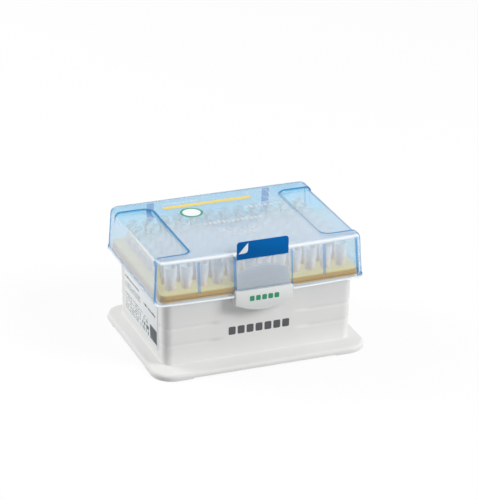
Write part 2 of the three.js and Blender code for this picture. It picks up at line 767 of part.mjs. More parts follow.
/** Opening in the lid's front wall below the panel, where the latch passes. */
function latchNotch() {
  const half = PANEL_HALF_X + PANEL_NOTCH_MARGIN;
  const { front, bow } = lidPlan(LID_BOTTOM);
  return block([-half, -front - bow - CUT, LID_BOTTOM - CUT], [half, -RIM.front, PANEL_BOTTOM]);
}

function lid() {
  const shell = cut(lidForm(0).add(catchPanel()), [
    lidForm(LID_WALL),
    catchPocket(),
    latchNotch(),
    ...onBothSides(hingeNotch),
  ]);
  const skin = lidForm(0);
  const ribs = onBothSides(innerRib).map((rib) => rib.intersect(skin));
  return join([shell, ...ribs, ...onBothSides(hingePost)]);
}

// ---------------------------------------------------------------- latch

/** Front y of the tongue at a height, behind the panel. */
function tongueY(z) {
  const root = lidFrontY(PANEL_BOTTOM) + LID_WALL - PANEL_PROUD + TONGUE_GAP;
  return root + TONGUE_LEAN * (z - PANEL_BOTTOM);
}

/** Outline of the whole latch from the front: arched tongue above, bellied lip below. */
function latchOutline(halfTongue) {
  const sideTop = PANEL_BOTTOM + LATCH_SHOULDER;
  const lipTop = PANEL_BOTTOM - LATCH_BELOW_PANEL;
  const lipSide = lipTop - LATCH_SIDE_HEIGHT;
  const lower = crownPoints(LATCH_HALF_X, lipSide, -LATCH_BELLY);
  const upper = crownPoints(halfTongue, sideTop, LATCH_CROWN).reverse();
  return new THREE.Shape([
    ...lower,
    new THREE.Vector2(LATCH_HALF_X, lipTop),
    new THREE.Vector2(halfTongue, lipTop),
    ...upper,
    new THREE.Vector2(-halfTongue, lipTop),
    new THREE.Vector2(-LATCH_HALF_X, lipTop),
  ]);
}

/** Side plate that carries a trunnion, back to just before the tub's wall. */
function latchSide(lipFace) {
  const x1 = LATCH_HALF_X;
  const x0 = x1 - LATCH_PLATE;
  const wall = -TUB_HALF_Y - SEAT_GAP;
  const low = RIM_BOTTOM - LATCH_PLATE_DROP;
  const underRim = RIM_BOTTOM - 2 * SEAT_GAP;
  const foldTop = PANEL_BOTTOM - LATCH_BELOW_PANEL - LATCH_FOLD_HEIGHT;
  const beforeRim = -(RIM.front + RIM.bow + LATCH_RIM_GAP);
  const profile = [
    [lipFace + LATCH_LIP / 2, low],
    [wall, low],
    [wall, underRim],
    [beforeRim, underRim],
    [beforeRim, foldTop],
    [lipFace + LATCH_LIP / 2, foldTop],
  ];
  const trunnion = barAlongX(TRUNNION_R, x0 - TRUNNION_LENGTH, x1, PIVOT_Y, PIVOT_Z);
  return sideProfile(profile, x0, x1).add(trunnion);
}

function latchTab() {
  const halfTongue = PANEL_HALF_X - PANEL_CHEEK - TONGUE_GAP;
  const lipTop = PANEL_BOTTOM - LATCH_BELOW_PANEL;
  const foldBottom = lipTop - LATCH_FOLD_HEIGHT;
  const lipFace = lidFrontY(PANEL_BOTTOM) - PANEL_PROUD;
  const tip = PANEL_BOTTOM + LATCH_SHOULDER + LATCH_CROWN;
  const section = sideProfile([
    [lipFace, lipTop - LATCH_SIDE_HEIGHT - LATCH_BELLY - CUT],
    [lipFace + LATCH_LIP, lipTop - LATCH_SIDE_HEIGHT - LATCH_BELLY - CUT],
    [lipFace + LATCH_LIP, foldBottom - LATCH_LIP],
    [tongueY(foldBottom) + LATCH_TONGUE, foldBottom],
    [tongueY(tip) + LATCH_TONGUE, tip + CUT],
    [tongueY(tip), tip + CUT],
    [tongueY(lipTop), lipTop],
    [lipFace + LATCH_LIP / 4, lipTop],
    [lipFace, lipTop - LATCH_LIP / 4],
  ], -LATCH_HALF_X, LATCH_HALF_X);
  const outline = frontProfile(latchOutline(halfTongue), 0, lipFace - CUT);
  return join([section.intersect(outline), ...onBothSides(() => latchSide(lipFace))]);
}

// ---------------------------------------------------------------- seal and label

/** Clear strip down the panel's face. */
function sealFilm() {
  const low = PANEL_BOTTOM + FILM_RAISE;
  const face = (z) => lidFrontY(z) - PANEL_PROUD - SEAT_GAP;
  const top = PANEL_TOP + TAB_LAP;
  const upright = face(PANEL_TOP);
  return sideProfile([
    [face(low) - FILM_THICKNESS, low],
    [face(low), low],
    [upright, PANEL_TOP],
    [upright, top],
    [upright - FILM_THICKNESS, top],
    [upright - FILM_THICKNESS, PANEL_TOP],
  ], FILM_FROM_X, FILM_TO_X);
}

/** Stiff tab that stands up from the film, with two rounded corners. */
function pullTab() {
  const low = PANEL_TOP - TAB_SINK;
  const high = low + TAB_HEIGHT;
  const back = lidFrontY(PANEL_TOP) - PANEL_PROUD - FILM_THICKNESS - 2 * SEAT_GAP;
  const shape = new THREE.Shape();
  shape.moveTo(TAB_FROM_X, low);
  shape.lineTo(TAB_TO_X, low);
  shape.lineTo(TAB_TO_X, high - TAB_CORNER_R);
  shape.absarc(TAB_TO_X - TAB_CORNER_R, high - TAB_CORNER_R, TAB_CORNER_R, 0, Math.PI / 2);
  shape.absarc(TAB_FROM_X + TAB_CORNER_R, high - TAB_CORNER_R, TAB_CORNER_R, Math.PI / 2, Math.PI);
  return frontProfile(shape, back, back - TAB_THICKNESS);
}

/** Paper label on the tub's left end, on the wall's draft. */
function sideLabel() {
  const low = LABEL_RAISE;
  const high = low + LABEL_HEIGHT;
  const points = [
    ...cornerArc(LABEL_HALF_Y - LABEL_CORNER_R, high - LABEL_CORNER_R, LABEL_CORNER_R, 0, 2),
    ...cornerArc(LABEL_CORNER_R - LABEL_HALF_Y, high - LABEL_CORNER_R, LABEL_CORNER_R, Math.PI / 2, 2),
    ...cornerArc(LABEL_CORNER_R - LABEL_HALF_Y, low + LABEL_CORNER_R, LABEL_CORNER_R, Math.PI, 2),
    ...cornerArc(LABEL_HALF_Y - LABEL_CORNER_R, low + LABEL_CORNER_R, LABEL_CORNER_R, 1.5 * Math.PI, 2),
  ];
  const geometry = new THREE.ExtrudeGeometry(
    new THREE.Shape(points),
    { depth: LABEL_THICKNESS, bevelEnabled: false },
  );
  const turn = new THREE.Matrix4().makeBasis(
    new THREE.Vector3(0, 1, 0),
    new THREE.Vector3(0, 0, 1),
    new THREE.Vector3(1, 0, 0),
  );
  geometry.applyMatrix4(turn);
  const lean = TUB_DRAFT_X / (RIM_BOTTOM - FOOT_HEIGHT);
  const shear = new THREE.Matrix4().makeShear(0, 0, 0, 0, -lean, 0);
  geometry.applyMatrix4(shear);
  const wallAtZero = -(TUB_HALF_X - TUB_DRAFT_X * RIM_BOTTOM / (RIM_BOTTOM - FOOT_HEIGHT));
  geometry.translate(wallAtZero - SEAT_GAP - LABEL_THICKNESS, 0, 0);
  return solid(geometry);
}

// ---------------------------------------------------------------- the box

const whiteMoulding = new THREE.MeshStandardMaterial({ color: 0xd9d9d7, roughness: 0.45, metalness: 0 });
const yellowMoulding = new THREE.MeshStandardMaterial({ color: 0xd9bf7a, roughness: 0.5, metalness: 0 });
const tipPlastic = new THREE.MeshStandardMaterial({ color: 0xe6ebee, roughness: 0.35, metalness: 0 });
const clearBlue = new THREE.MeshStandardMaterial({
  color: 0xa9cdf0, roughness: 0.12, metalness: 0, transparent: true, opacity: 0.35,
});
const clearFilm = new THREE.MeshStandardMaterial({
  color: 0xe8f1f8, roughness: 0.1, metalness: 0, transparent: true, opacity: 0.3,
});
const blueFoil = new THREE.MeshStandardMaterial({ color: 0x1260a6, roughness: 0.4, metalness: 0 });
const labelPaper = new THREE.MeshStandardMaterial({ color: 0xf2f3f2, roughness: 0.7, metalness: 0 });

const group = new THREE.Group();

function addPiece(name, body, material, position = [0, 0, 0]) {
  const mesh = new THREE.Mesh(geometryOf(body), material);
  mesh.name = name;
  mesh.position.set(...position);
  group.add(mesh);
}

addPiece('base_tub', baseTub(), whiteMoulding);
addPiece('tip_tray', tipTray(), yellowMoulding);
const tip = looseTip();
for (const { name, x, y } of tipPlaces().filter((place) => place.loose)) {
  addPiece(name, tip, tipPlastic, [x, y, SHOULDER_Z]);
}
addPiece('lid', lid(), clearBlue);
addPiece('latch_tab', latchTab(), whiteMoulding);
addPiece('seal_film', sealFilm(), clearFilm);
addPiece('pull_tab', pullTab(), blueFoil);
addPiece('side_label', sideLabel(), labelPaper);

export default group;
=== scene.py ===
# %% [markdown]
# A box of pipette tips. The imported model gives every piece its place, so this script only makes the
# fine surfaces, the finishes, the light and the camera. All sizes below are in millimetres and are
# turned to metres when a mesh is made.

# %% Load the frame
import math

import bpy
import numpy as np
from mathutils import Matrix, Vector


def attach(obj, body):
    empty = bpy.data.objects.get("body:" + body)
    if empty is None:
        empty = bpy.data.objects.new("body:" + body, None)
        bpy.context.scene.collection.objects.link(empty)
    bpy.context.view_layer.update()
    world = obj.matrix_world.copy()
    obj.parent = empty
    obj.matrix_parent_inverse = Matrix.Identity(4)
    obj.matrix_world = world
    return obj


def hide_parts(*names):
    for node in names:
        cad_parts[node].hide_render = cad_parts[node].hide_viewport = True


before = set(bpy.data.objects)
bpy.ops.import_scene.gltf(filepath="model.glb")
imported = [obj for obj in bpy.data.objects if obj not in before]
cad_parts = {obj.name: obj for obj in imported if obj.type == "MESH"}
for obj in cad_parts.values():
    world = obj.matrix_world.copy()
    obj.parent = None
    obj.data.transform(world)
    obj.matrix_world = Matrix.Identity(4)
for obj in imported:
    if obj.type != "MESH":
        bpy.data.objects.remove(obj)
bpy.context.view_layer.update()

MM = 0.001

# %% [markdown]
# The camera stands to the left and a little above, far away with a long lens, so that parallel
# edges stay nearly parallel. It is placed by the point that it looks at, its distance, and three
# turns: azimuth, elevation and roll.

# %% Camera
AZIMUTH, ELEVATION, ROLL = (math.radians(a) for a in (-21.25, 23.8, 0.66))
TARGET = Vector((2.10, -0.83, 49.75)) * MM
DISTANCE = 1325.83 * MM
LENS = 171.96


def aim_camera():
    """Right, up and back are the camera's axes; back points from the target to the lens."""
    sa, ca = math.sin(AZIMUTH), math.cos(AZIMUTH)
    se, ce = math.sin(ELEVATION), math.cos(ELEVATION)
    back = Vector((sa * ce, -ca * ce, se))
    level = Vector((ca, sa, 0))
    rise = back.cross(level)
    right = level * math.cos(ROLL) + rise * math.sin(ROLL)
    up = rise * math.cos(ROLL) - level * math.sin(ROLL)
    camera = bpy.data.objects.new("camera", bpy.data.cameras.new("camera"))
    bpy.context.scene.collection.objects.link(camera)
    camera.matrix_world = Matrix.Translation(TARGET + back * DISTANCE) @ Matrix(
        (right, up, back)).transposed().to_4x4()
    camera.data.lens = LENS
    camera.data.sensor_width = 36
    camera.data.clip_start, camera.data.clip_end = 0.05, 20
    bpy.context.scene.camera = camera
    return camera


camera = aim_camera()
print("camera at", [round(v, 3) for v in camera.location])

# %% [markdown]
# The colour of a finish is easiest to judge as it looks on a screen, but shaders work in linear
# light. One helper turns the first into the second. The others make shader nodes: what is handed to
# them goes into the node's sockets, as a value or, when it comes from an earlier node, as a link.

# %% Colours and small node helpers
def screen(red, green, blue):
    """Screen values 0..255 to linear: ((c + 0.055) / 1.055) to the power 2.4 above the toe."""
    values = np.array([red, green, blue]) / 255
    linear = np.where(values <= 0.04045, values / 12.92, ((values + 0.055) / 1.055) ** 2.4)
    return (*(float(v) for v in linear), 1.0)


def node(tree, kind, *values, **settings):
    """A shader node, set out in rows of eight. Values fill its inputs in order. Settings in small
    letters are properties, and the others are inputs, with an underscore for each space."""
    made = tree.nodes.new("ShaderNode" + kind)
    row, column = divmod(len(tree.nodes), 8)
    made.location = (220 * column, -320 * row)
    for key in [key for key in settings if key.islower()]:
        setattr(made, key, settings.pop(key))
    named = [(made.inputs[key.replace("_", " ")], value) for key, value in settings.items()]
    for socket, value in [*zip(made.inputs, values), *named]:
        if isinstance(value, bpy.types.Node):
            value = value.outputs[0]
        if isinstance(value, bpy.types.NodeSocket):
            tree.links.new(value, socket)
        else:
            socket.default_value = value
    return made


def maths(tree, operation, *values):
    return node(tree, "Math", *values, operation=operation)


def blend(tree, share, first, second):
    """Colour between two others."""
    return node(tree, "Mix", data_type="RGBA", Factor=share, A=first, B=second).outputs["Result"]


def mask(tree, name):
    """Values stored on a piece's points."""
    return node(tree, "Attribute", attribute_name=name).outputs["Fac"]


def object_place(tree):
    return node(tree, "TexCoord").outputs["Object"]


def blank_material(name):
    material = bpy.data.materials.new(name)
    material.use_nodes = True
    material.node_tree.nodes.clear()
    return material, material.node_tree


print("half of full screen brightness is", round(screen(127.5, 0, 0)[0], 3), "of full light")

# %% [markdown]
# The floor and the world are plain white for the camera, for mirror rays and for rays that pass
# through clear plastic, and a softer grey as light. That keeps the background pale without washing
# out the box. The lamps light the box but aren't seen in reflections: the lid's top is flat, so the
# mirror image of one lamp would turn all of it white.

# %% Stage and light
BACKDROP = (1.0, 1.0, 1.0, 1.0)
SKY_LIGHT = 0.36
FLOOR_WHITE, FLOOR_BOUNCE = screen(252, 252, 252), screen(165, 167, 168)
FLOOR_GLOW = 0.88


def seen_rays(tree):
    """1 for camera, glossy and transmission rays, 0 for the rays that carry light."""
    rays = node(tree, "LightPath").outputs
    first = maths(tree, "MAXIMUM", rays["Is Camera Ray"], rays["Is Glossy Ray"])
    return maths(tree, "MAXIMUM", first, rays["Is Transmission Ray"])


def make_world():
    world = bpy.data.worlds.new("studio")
    world.use_nodes = True
    tree = world.node_tree
    tree.nodes.clear()
    light, seen = (node(tree, "Background", BACKDROP, strength) for strength in (SKY_LIGHT, 1.0))
    node(tree, "OutputWorld", node(tree, "MixShader", seen_rays(tree), light, seen))
    bpy.context.scene.world = world


def make_floor():
    material, tree = blank_material("floor_paper")
    seen = seen_rays(tree)
    paper = node(tree, "BsdfDiffuse", blend(tree, seen, FLOOR_BOUNCE, FLOOR_WHITE))
    share = maths(tree, "MULTIPLY", seen, FLOOR_GLOW)
    glow = node(tree, "Emission", BACKDROP, 1.0)
    node(tree, "OutputMaterial", node(tree, "MixShader", share, paper, glow))
    half = 4.0
    mesh = bpy.data.meshes.new("floor")
    mesh.from_pydata([(-half, -half, 0), (half, -half, 0), (half, half, 0), (-half, half, 0)],
                     [], [(0, 1, 2, 3)])
    mesh.materials.append(material)
    floor = bpy.data.objects.new("floor", mesh)
    bpy.context.scene.collection.objects.link(floor)


def soft_lamp(name, place, size, watts):
    """A square lamp that faces the middle of the box."""
    data = bpy.data.lights.new(name, "AREA")
    data.size, data.energy = size, watts
    lamp = bpy.data.objects.new(name, data)
    lamp.location = place
    lamp.rotation_euler = (TARGET - Vector(place)).to_track_quat("-Z", "Y").to_euler()
    lamp.visible_glossy = False
    bpy.context.scene.collection.objects.link(lamp)


make_world()
make_floor()
soft_lamp("lamp_top", (-0.1, 0.2, 1.1), 0.9, 1.7)
soft_lamp("lamp_left", (-1.0, 0.8, 0.6), 0.7, 12.0)
soft_lamp("lamp_right", (0.9, -0.9, 0.8), 0.6, 15.0)
bpy.context.scene.view_settings.view_transform = "Standard"

# %% [markdown]
# Every fine surface below is made the same way: rows of points are laid out as a numpy grid, the
# grid is closed into a shell, and the shells of one piece are put in one mesh. A closed shell has a
# volume, and the sign of that volume tells whether its faces look outwards.

# %% Shells and pieces
def grid_faces(rows, columns, close_rows=False, close_columns=False):
    """Quads between the points of a grid numbered row by row; a closed direction wraps round."""
    r = np.arange(rows if close_rows else rows - 1)[:, None]
    c = np.arange(columns if close_columns else columns - 1)[None, :]
    r2, c2 = (r + 1) % rows, (c + 1) % columns
    quads = np.stack(np.broadcast_arrays(r * columns + c, r * columns + c2,
                                         r2 * columns + c2, r2 * columns + c), -1)
    return quads.reshape(-1, 4).tolist()


def shell_volume(points, faces):
    """Six times the volume: the sum over fan triangles of a . (b x c)."""
    total = 0.0
    by_size = {}
    for face in faces:
        by_size.setdefault(len(face), []).append(face)
    for size, group in by_size.items():
        corners = points[np.array(group)]
        for k in range(1, size - 1):
            total += np.einsum("ij,ij->", corners[:, 0],
                               np.cross(corners[:, k], corners[:, k + 1]))
    return total


def shell(points, faces):
    """A closed shell with its faces turned outwards."""
    points = np.asarray(points, float).reshape(-1, 3)
    if shell_volume(points - points.mean(0), faces) < 0:
        faces = [face[::-1] for face in faces]
    return points, faces


def stacked(rings):
    """Closed shell through equally long rings of points, with a flat face on each end ring."""
    rings = np.asarray(rings, float)
    rows, columns = rings.shape[:2]
    faces = grid_faces(rows, columns, close_columns=True)
    faces.append(list(range(columns))[::-1])
    faces.append(list(range((rows - 1) * columns, rows * columns)))
    return shell(rings, faces)


def ring_shell(rings):
    """Closed shell whose last ring joins its first, such as a tube with a bore."""
    rings = np.asarray(rings, float)
    rows, columns = rings.shape[:2]
    return shell(rings, grid_faces(rows, columns, close_rows=True, close_columns=True))


def make_piece(name, shells, material, body, replaces=(), crease=35.0, masks=None):
    """One object from closed shells in millimetres; edges past the crease angle stay sharp."""
    points, faces, start = [], [], 0
    for shell_points, shell_faces in shells:
        points.append(shell_points)
        faces += [[i + start for i in face] for face in shell_faces]
        start += len(shell_points)
    mesh = bpy.data.meshes.new(name)
    mesh.from_pydata((np.concatenate(points) * MM).tolist(), [], faces)
    mesh.polygons.foreach_set("use_smooth", np.ones(len(mesh.polygons), bool))
    mesh.set_sharp_from_angle(angle=math.radians(crease))
    for mask, values in (masks or {}).items():
        mesh.attributes.new(mask, "FLOAT", "POINT").data.foreach_set("value", values)
    mesh.materials.append(material)
    piece = bpy.data.objects.new(name, mesh)
    bpy.context.scene.collection.objects.link(piece)
    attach(piece, body)
    if replaces:
        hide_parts(*replaces)
    print(f"{name}: {len(mesh.vertices)} points, {len(mesh.polygons)} faces")
    return piece


column = stacked([[(0, 0, z), (1, 0, z), (1, 1, z), (0, 1, z)] for z in (0, 1)])
print("a square column closes into", len(column[1]), "faces, volume", shell_volume(*column) / 6)

# %% [markdown]
# The tub, the tray and the lid all have a plan that is a rounded rectangle, and their front edges
# bow outwards a little. One function lays points round such a plan, always with the same number of
# points, so plans of different size can be stacked. Steps across a wall need lines of points at
# fixed places.

# %% Plans
QUARTERS = (math.pi, -math.pi / 2, 0.0, math.pi / 2)


def fixed_lines(low, high, spacing, marks=(), step=0.06):
    """Values from low to high, about evenly spaced, with a close pair at each mark for a step."""
    pairs = sorted({m + s * step for m in marks for s in (-1, 1)})
    stops = [low, *[p for p in pairs if low < p < high], high]
    lines = []
    for a, b in zip(stops, stops[1:]):
        count = max(1, round((b - a) / spacing))
        lines += [a + (b - a) * k / count for k in range(count)]
    return np.array([*lines, high])


def to_points(*values):
    """Points from their coordinates; a single number is the same for all of them."""
    return np.column_stack(np.broadcast_arrays(*values))


def arc(cx, cy, r, angle):
    """Points on a circle: (cx + r cos(angle), cy + r sin(angle))."""
    return to_points(cx + r * np.cos(angle), cy + r * np.sin(angle))


def full_turn(count):
    return np.arange(count) * 2 * math.pi / count


def plan(half_x, front, back, radius, bow=0.0, xs=(0.0,), ys=(0.0,), steps=10):
    """Rounded rectangle, counter-clockwise from the front left, with four quarter circles and
    y = -front - bow (1 - (x / half_x)^2) in front. xs and ys are the lines between the corners."""
    xs, ys = np.asarray(xs, float), np.asarray(ys, float)
    turn = np.linspace(0, math.pi / 2, steps + 1)
    x, lo, hi = half_x - radius, radius - front, back - radius
    corners = zip((-x, x, x, -x), (lo, lo, hi, hi), QUARTERS)
    runs = ((xs, -front), (half_x, ys), (xs[::-1], back), (-half_x, ys[::-1]))
    points = np.concatenate([part for (cx, cy, start), run in zip(corners, runs)
                             for part in (arc(cx, cy, radius, start + turn), to_points(*run))])
    ahead = points[:, 1] < lo + 1e-9
    points[ahead, 1] -= bow * (1 - (points[ahead, 0] / half_x) ** 2)
    return points


def at_height(points, z):
    return to_points(*points.T, z)


def box_shell(low, high, bevel=0.15):
    """A block with bevelled edges all round: three stacked plans at each end."""
    (x0, y0, z0), (x1, y1, z1) = low, high
    cx, cy = (x0 + x1) / 2, (y0 + y1) / 2
    hx, hy = (x1 - x0) / 2, (y1 - y0) / 2
    rings = []
    for z, inset in ((z0, bevel), (z0 + bevel, 0), (z1 - bevel, 0), (z1, bevel)):
        ring = plan(hx - inset, hy - inset, hy - inset, max(bevel, 0.05), steps=2)
        rings.append(at_height(ring + (cx, cy), z))
    return stacked(rings)


def turned(profile, y, z, sides):
    """Rings round an axis along X at (y, z): each profile point (x, r) gives one ring."""
    return [to_points(x, *arc(y, z, r, full_turn(sides)).T) for x, r in profile]


def bar_shell(radius, x0, x1, y, z, sides=32, bevel=0.15):
    """Round bar along X with bevelled ends."""
    return stacked(turned([(x0, radius - bevel), (x0 + bevel, radius), (x1 - bevel, radius),
                           (x1, radius - bevel)], y, z, sides))


def washer_shell(outer, inner, x0, x1, y, z, sides=40, bevel=0.15):
    """Flat ring about an axis along X, such as an ear with its bore."""
    return ring_shell(turned([(x0, inner), (x0, outer - bevel), (x0 + bevel, outer),
                              (x1 - bevel, outer), (x1, outer - bevel), (x1, inner)], y, z, sides))


def round_corners(x, y, half_x, half_y, radius):
    """Draws the corners of a rectangle in. Past a corner's centre a point keeps its direction from
    it, and its distance becomes the larger of its two offsets."""
    qx, qy = np.abs(x) - (half_x - radius), np.abs(y) - (half_y - radius)
    past = (qx > 0) & (qy > 0)
    pull = np.where(past, np.maximum(qx, qy) / np.where(past, np.hypot(qx, qy), 1), 1)
    return (np.where(past, np.sign(x) * (half_x - radius + qx * pull), x),
            np.where(past, np.sign(y) * (half_y - radius + qy * pull), y))


def ramp(value, start, length):
    """0 at the start, 1 from start + length on, straight between. A negative length runs down."""
    return np.clip((value - start) / length, 0, 1)


def smooth(value, start, length):
    """The same ramp with soft ends: 3 t^2 - 2 t^3."""
    t = ramp(value, start, length)
    return t * t * (3 - 2 * t)


def between(value, low, high):
    return (value > low) & (value < high)


print("a 10 mm block:", len(box_shell((0, 0, 0), (10, 10, 10))[0]), "points")

# %% [markdown]
# Moulded plastic is never one flat colour. Its surface has a very fine satin grain and a slow change
# in tone where the flow of the melt was thicker. One node group gives those values, and every opaque
# plastic of the box uses it. A second tint, brought in by a mask, is painted shade: on the tub's rim
# under the tray, on the latch's tongue and on the tray below its deck.

# %% Shared node groups
FLOW_SCALE, GRAIN_SCALE, GRAIN_DEPTH, GRAIN_ROUGH = 38.0, 2600.0, 0.00004, 0.12


def new_group(name, inputs, outputs):
    """A node group, the sockets of its input node and those of its output node."""
    group = bpy.data.node_groups.new(name, "ShaderNodeTree")
    for socket, kind, value in inputs:
        made = group.interface.new_socket(socket, in_out="INPUT", socket_type="NodeSocket" + kind)
        made.default_value = value
    for socket, kind in outputs:
        group.interface.new_socket(socket, in_out="OUTPUT", socket_type="NodeSocket" + kind)
    given, out = (group.nodes.new("NodeGroup" + side) for side in ("Input", "Output"))
    return group, given.outputs, out.inputs


def moulded_group():
    """Colour, roughness and a bumped normal from noise at two scales in object space."""
    inputs = [("Tint", "Color", (0.8, 0.8, 0.8, 1)), ("Variation", "Float", 0.04),
              ("Grain", "Float", 0.1), ("Polish", "Float", 0.35)]
    outputs = [("Color", "Color"), ("Roughness", "Float"), ("Normal", "Vector")]
    group, given, out = new_group("moulded_plastic", inputs, outputs)
    place = object_place(group)
    slow = node(group, "TexNoise", Vector=place, Scale=FLOW_SCALE, Detail=3.0, Roughness=0.5)
    fine = node(group, "TexNoise", Vector=place, Scale=GRAIN_SCALE, Detail=2.0, Roughness=0.6)
    change = maths(group, "MULTIPLY", maths(group, "SUBTRACT", slow, 0.5), given["Variation"])
    bright = maths(group, "ADD", change, 1.0)
    tinted = node(group, "HueSaturation", Value=bright, Color=given["Tint"])
    rough = maths(group, "MULTIPLY_ADD", fine, GRAIN_ROUGH, given["Polish"])
    bump = node(group, "Bump", Strength=given["Grain"], Distance=GRAIN_DEPTH, Height=fine)
    for name, made in (("Color", tinted), ("Roughness", rough), ("Normal", bump)):
        group.links.new(made.outputs[0], out[name])
    return group


MOULDED = moulded_group()


def moulded_surface(tree, tint, variation, grain, polish, **settings):
    """The group's colour, roughness and normal on a Principled surface, and the group's outputs."""
    look = node(tree, "Group", node_tree=MOULDED, Tint=tint, Variation=variation, Grain=grain,
                Polish=polish).outputs
    surface = node(tree, "BsdfPrincipled", Base_Color=look["Color"], Roughness=look["Roughness"],
                   Normal=look["Normal"], **settings)
    return surface, look


def moulded_material(name, tint, variation=0.05, grain=0.12, polish=0.3, shine=0.5, second=None):
    """Opaque plastic with a shine; second is a painted-shade tint and the attribute that brings it
    in.
    """
    material, tree = blank_material(name)
    if second:
        tint = blend(tree, mask(tree, second[1]), tint, second[0])
    surface, look = moulded_surface(tree, tint, variation, grain, polish, IOR=1.49,
                                    Specular_IOR_Level=shine)
    node(tree, "OutputMaterial", surface)
    return material


# The rim mask paints the tub's white rim a deep yellow-brown: painted shade under the tray, tinted by
# the tray's yellow light.
WHITE_PLASTIC = moulded_material("white_plastic", screen(236, 236, 234), polish=0.28,
                                 second=(screen(206, 156, 66), "rim"))
# The thin mask paints the latch's tongue grey: painted shade where it stands behind the lid's panel
# and the film.
LATCH_PLASTIC = moulded_material("latch_plastic", screen(234, 236, 235), polish=0.22,
                                 second=(screen(180, 185, 186), "thin"))
# The skirt mask paints the tray below its deck a deeper yellow-brown: painted shade on its side.
YELLOW_PLASTIC = moulded_material("yellow_plastic", screen(230, 206, 126), polish=0.3,
                                  second=(screen(206, 154, 52), "skirt"))
print("node groups:", [g.name for g in bpy.data.node_groups])

# %% [markdown]
# The tub is one moulding: a foot with a rounded shoulder, walls that lean in a little towards the
# foot, two grip grooves that wrap the corners, and a rim that the lid closes on. Its section is
# followed once round, from under the floor, out over the foot, up the wall, over the rim and down
# inside.

# %% Tub
TUB_X, TUB_Y, TUB_R, TUB_WALL = 55.3, 38.4, 5.0, 1.6
TUB_DRAFT_X, TUB_DRAFT_Y = 0.5, 0.85
RIM_LOW, RIM_TOP, FOOT_RISE, FOOT_ROUND = 42.4, 44.4, 4.15, 1.9
GROOVES, GROOVE_TALL, GROOVE_DEEP = (14.2, 24.3), 3.4, 0.2
WALL_XS = fixed_lines(-49, 49, 6, marks=(-41.7, -25.5, 25.5, 41.7), step=0.15)
WALL_YS = fixed_lines(-31.5, 31.5, 5, marks=(-30, -27.6, 27.6, 30), step=0.15)


def tub_half(z):
    """Half width and half depth at a height: each side comes in by its draft from rim to foot."""
    fall = ramp(z, RIM_LOW, FOOT_RISE - RIM_LOW)
    return TUB_X - TUB_DRAFT_X * fall, TUB_Y - TUB_DRAFT_Y * fall


def tub_plan(z, grow=0.0):
    x, y = tub_half(z)
    return plan(x + grow, y + grow, y + grow, TUB_R + grow, xs=WALL_XS, ys=WALL_YS)


def foot_plan(inset):
    return plan(62.4 - inset, 48.8 - inset, 48.8 - inset, 12 - inset, xs=WALL_XS, ys=WALL_YS)


def rim_plan(inset):
    return plan(58 - inset, 40.5 - inset, 42.6 - inset, 4.5 - inset, bow=0.85, xs=WALL_XS,
                ys=WALL_YS)


def tub_rings():
    """The section as rings: under the floor, sole and side of the foot, wall, rim, and inside."""
    rings = [at_height(tub_plan(0, grow), z)
             for grow, z in ((-4, 0.6), (-0.3, 0.6), (0, 0.9), (0, 2.0))]
    rings.append(at_height(foot_plan(2.4), 2.0))
    sole = foot_plan(1.0)
    lifted = 0.6 * ((np.abs(sole[:, 0]) < 41.7) | (np.abs(sole[:, 1]) < 27.6))
    rings += [at_height(foot_plan(inset), lifted + lift)
              for inset, lift in ((2.4, 0.0), (0.25, 0.0), (0.0, 0.25))]
    rings += [at_height(foot_plan(FOOT_ROUND * (1 - math.cos(a))), 1.6 + FOOT_ROUND * math.sin(a))
              for a in np.linspace(0, math.pi / 2, 9)]
    rings += [at_height(foot_plan(FOOT_ROUND) * (1 - share) + tub_plan(4, 0.6) * share,
                        3.5 + 0.65 * share) for share in (0.5, 0.9)]
    rings += [at_height(tub_plan(4, 0.6 * (1 - math.sin(a))), FOOT_RISE + 0.6 * (1 - math.cos(a)))
              for a in np.linspace(0, math.pi / 2, 5)]
    for low in GROOVES:
        for share in np.linspace(0, 1, 9):
            z, deep = low + GROOVE_TALL * share, (1 - math.cos(2 * math.pi * share)) / 2
            ring, base = tub_plan(z, -GROOVE_DEEP), tub_plan(z)
            wraps = (np.abs(base[:, 0]) > 25.5) & (np.abs(base[:, 1]) > 30)
            rings.append(at_height(base + (ring - base) * (wraps * deep)[:, None], z))
    rings += [at_height(tub_plan(41.9), 41.9), at_height(tub_plan(42.3, 0.2), 42.3)]
    rings += [at_height(rim_plan(inset), z) for inset, z in (
        (0.3, RIM_LOW), (0.05, RIM_LOW + 0.12), (0, RIM_LOW + 0.35), (0, RIM_TOP - 0.45),
        (0.12, RIM_TOP - 0.12), (0.4, RIM_TOP))]
    rings += [at_height(tub_plan(43, 0.2 - TUB_WALL), RIM_TOP),
              at_height(tub_plan(43, -TUB_WALL), RIM_TOP - 0.2)]
    rings += [at_height(tub_plan(z, -TUB_WALL), z) for z in (30, 15, 3.4)]
    rings += [at_height(tub_plan(3, -TUB_WALL - 1.2 * (1 - math.cos(a))), 3.4 - 1.2 * math.sin(a))
              for a in np.linspace(math.pi / 8, math.pi / 2, 4)]
    return rings


def foot_ribs():
    """Short ribs across the groove under the foot, between its edge and the tub."""
    places = [(x, side * 43.2, 0.6, 4.6) for x in range(-54, 55, 18) for side in (-1, 1)]
    places += [(side * 58, y, 3, 0.6) for y in (-18, 0, 18) for side in (-1, 1)]
    return [box_shell((x - half_x, y - half_y, 0.6), (x + half_x, y + half_y, 2.3), 0.1)
            for x, y, half_x, half_y in places]


print("tub section:", len(tub_rings()), "rings, and", len(foot_ribs()), "ribs under the foot")

# %% [markdown]
# The tub also carries the fittings: two ears in front, which the latch turns in, and two pairs of
# cheeks behind for the lid's hinge. They are moulded on, so they overlap the wall. Both axes run
# along X, so a bored disc and a plate cut from a side outline make all of them.

